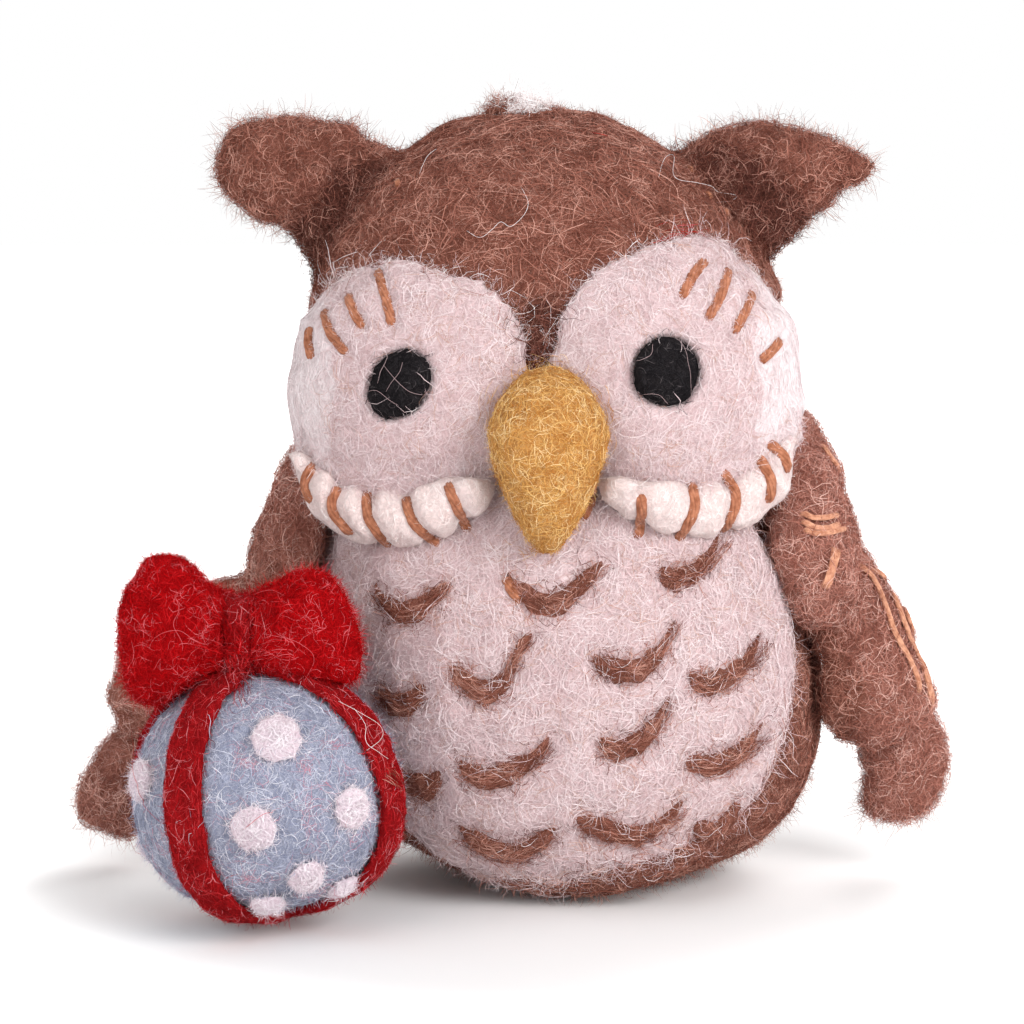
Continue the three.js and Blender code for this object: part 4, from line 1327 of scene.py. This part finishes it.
def lower_to(obj, edge):
    """Lowers what stands above an edge of (x, y) pixels."""
    points = points_of(obj)
    x, y = pixels_of(points)
    points[:, 2] -= DRAWN_SHARE * PIXEL * np.maximum(across_edge(edge, x) - y, 0)
    set_points(obj, points)


def narrow_to(obj, edge, side):
    """Draws in what lies beyond an edge of (y, x) pixels, on its right for side 1, its left for -1."""
    points = points_of(obj)
    x, y = pixels_of(points)
    beyond = np.maximum(side * (x - across_edge(edge, y)), 0)
    points[:, 0] -= side * DRAWN_SHARE * PIXEL * beyond
    set_points(obj, points)


def seated(obj, base, right, down):
    """Moves a piece's points across the picture, each as high over the base's surface as before."""
    points = points_of(obj)
    moved = points + in_picture(right, down)
    for i, (before, after) in enumerate(zip(points, moved)):
        place, normal, _, _ = base.tree.find_nearest(before)
        height = (Vector(before) - place).dot(normal)
        place, normal, _, _ = base.tree.find_nearest(after)
        points[i] = place + normal * height
    set_points(obj, points)


def middle_seen(obj):
    return np.array([(values.min() + values.max()) / 2 for values in pixels_of(points_of(obj))])


def nearest_seen(objects, pixel):
    return min(objects, key=lambda obj: np.linalg.norm(middle_seen(obj) - pixel))


def place_dots():
    """The near dots go to the photograph's places on the egg."""
    egg = Surface([SKINS["egg"]])
    low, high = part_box("egg")
    near = [obj for obj in DOTS if points_of(obj)[:, 1].mean() < (low[1] + high[1]) / 2]
    for x, y, _ in DOT_PLACES:
        obj = nearest_seen(near, (x, y))
        seen = middle_seen(obj)
        seated(obj, egg, np.array([x - seen[0]]), np.array([y - seen[1]]))


def bend_marks():
    """Each mark takes its photographed route: its ends go to the route's, its midline onto it."""
    patch = Surface([SKINS["belly_patch"]])
    for route in MARK_ROUTES:
        curve = smooth_route(route, 1)
        obj = nearest_seen(MARKS, (curve.min(axis=0) + curve.max(axis=0)) / 2)
        x, y = pixels_of(points_of(obj))
        share = (x - x.min()) / (x.max() - x.min())
        wanted_x = curve[0, 0] + share * (curve[-1, 0] - curve[0, 0])
        slices = np.clip((share * MARK_SLICES).astype(int), 0, MARK_SLICES - 1)
        middles = [(y[slices == i].min() + y[slices == i].max()) / 2 for i in range(MARK_SLICES)]
        middle = np.interp(share, (np.arange(MARK_SLICES) + 0.5) / MARK_SLICES, middles)
        wanted_y = np.interp(wanted_x, curve[:, 0], curve[:, 1])
        seated(obj, patch, wanted_x - x, wanted_y - middle)


def fit_neighbours():
    """Pieces give way to each other: felt that meets in a hollow, and the discs over the ruffs."""
    place_dots()
    bend_marks()
    for name, pulls in PULLS.items():
        pull(SKINS[name], pulls)
    narrow_to(SKINS["bow_loop_right"], LOOP_SIDE, 1)
    press(SKINS["wing_left_shoulder"], points_of(SKINS["torso"]), *WING_BY_TORSO)
    head = SKINS["head"]
    for side in OUTWARD:
        ruff, ear = SKINS["ruff_" + side], SKINS["ear_" + side]
        narrow_to(ruff, RUFF_SIDES[side], OUTWARD[side])
        lower_to(ruff, RUFF_TOPS[side])
        press(SKINS["face_disc_" + side], points_of(ruff), *DISC_BY_RUFF)
        ear_points, head_points = points_of(ear), points_of(head)
        press(head, ear_points, *EAR_AND_HEAD)
        press(ear, head_points, *EAR_AND_HEAD)


def press_stitches():
    """The felt gives under each stitch and swells between them."""

    def under(stitches):
        return np.vstack([seen_route(surfaces["owl"], pixels)[0] for pixels in stitches])

    for side, stitches in RUFF_STITCHES.items():
        press(SKINS["ruff_" + side], under(stitches), *RUFF_BY_STITCH, rise=SWELL)
        press(SKINS["face_disc_" + side], under(BROW_STITCHES), *DISC_BY_STITCH)


def needle_marks():
    """The marks go into the belly patch, which swells up between them."""
    patch = Surface([SKINS["belly_patch"]])
    for obj in MARKS:
        points = points_of(obj)
        normal = patch.tree.find_nearest(points.mean(axis=0))[1]
        set_points(obj, points - np.array(normal) * MARK_SUNK)
    places = np.vstack([points_of(obj) for obj in MARKS])
    press(SKINS["belly_patch"], places, *BELLY_BY_MARK, rise=SWELL)


fit_neighbours()
surfaces = find_surfaces()
press_stitches()
needle_marks()
surfaces = find_surfaces()
areas = make_areas()
felt_areas()
dress()
lay_wool()
add_hairs("hairs_white", WOOLS["white"], 2, WHITE_HAIRS)
add_hairs("hairs_eye", WOOLS["pale"], 0, EYE_HAIRS, EYE_HAIR_WIDTH)
add_hairs("hairs_pink", WOOLS["red"], 3, PINK_HAIRS)
add_hairs("hairs_red", WOOLS["red"], 2, RED_HAIRS)
floss = floss_material("floss", FLOSS_COLOURS)
sew("stitches_brow", "owl", BROW_STITCHES, floss)
for side, stitches in RUFF_STITCHES.items():
    sew("stitches_ruff_" + side, "owl", stitches, floss)
sew("stitches_belly", "owl", BELLY_STITCHES, floss)
sew("stitches_ears", "owl", EAR_STITCHES, floss, WING_FLOSS_WIDTH)
wing_floss = floss_material("wing_floss", WING_FLOSS_COLOURS)
sew("stitches_wing", "free_wing", WING_STITCHES, wing_floss, WING_FLOSS_WIDTH, WING_STITCH_HEIGHT)


# Floor and light

FLOOR_HALF = 1.2
WHITE = (1, 1, 1, 1)
FLOOR_LOOK = {"Base Color": (0.9, 0.9, 0.9, 1), "Roughness": 1, "Specular IOR Level": 0}
# The floor shows its own shade near the owl and fades to plain white between these distances.
FADE_START = 0.05
FADE_END = 0.09
# What the white surroundings give the owl, where 1 is what the camera sees.
WORLD_LIGHT = 0.56
# Lamps: the place, the size and the power.
LAMPS = {
    "key": (Vector((0.39, -0.45, 0.31)), 0.35, 3.8),
    "fill": (Vector((-0.4, -0.5, 0.28)), 0.5, 2.15),
    "back": (Vector((0.25, 0.45, 0.35)), 0.4, 3.0),
}


def make_floor():
    half = FLOOR_HALF
    mesh = bpy.data.meshes.new("floor")
    corners = [(-half, -half, 0), (half, -half, 0), (half, half, 0), (-half, half, 0)]
    mesh.from_pydata(corners, [], [(0, 1, 2, 3)])
    floor = add_object("floor", mesh)
    material, shader = principled("floor", FLOOR_LOOK)
    tree = material.node_tree
    place = new_node(tree, "TexCoord", {}, "Object")
    distance = new_node(tree, "VectorMath", {0: place}, "Value", operation="LENGTH")
    band = {"Value": distance, "From Min": FADE_START, "From Max": FADE_END}
    fade = new_node(tree, "MapRange", band, "Result", interpolation_type="SMOOTHSTEP")
    seen = new_node(tree, "LightPath", {}, "Is Camera Ray")
    glow = new_node(tree, "Math", {0: seen, 1: fade}, operation="MULTIPLY")
    set_inputs(shader, {"Emission Color": WHITE, "Emission Strength": glow})
    mesh.materials.append(material)


def make_world():
    world = bpy.data.worlds.new("world")
    bpy.context.scene.world = world
    world.use_nodes = True
    tree = world.node_tree
    rays = tree.nodes.new("ShaderNodeLightPath").outputs
    seen = rays["Is Camera Ray"]
    for kind in ("Is Glossy Ray", "Is Transmission Ray"):
        seen = new_node(tree, "Math", {0: seen, 1: rays[kind]}, operation="MAXIMUM")
    band = {"Value": seen, "To Min": WORLD_LIGHT, "To Max": 1}
    strength = new_node(tree, "MapRange", band, "Result")
    set_inputs(tree.nodes["Background"], {"Color": WHITE, "Strength": strength})


def add_lamp(name, place, size, power):
    """A soft square lamp that looks at the owl's middle."""
    data = bpy.data.lights.new(name, "AREA")
    data.size = size
    data.energy = power
    aim(add_object(name, data), place, CAMERA_TARGET - place)


make_floor()
make_world()
for name, lamp in LAMPS.items():
    add_lamp(name, *lamp)

bpy.context.scene.view_settings.view_transform = "Standard"
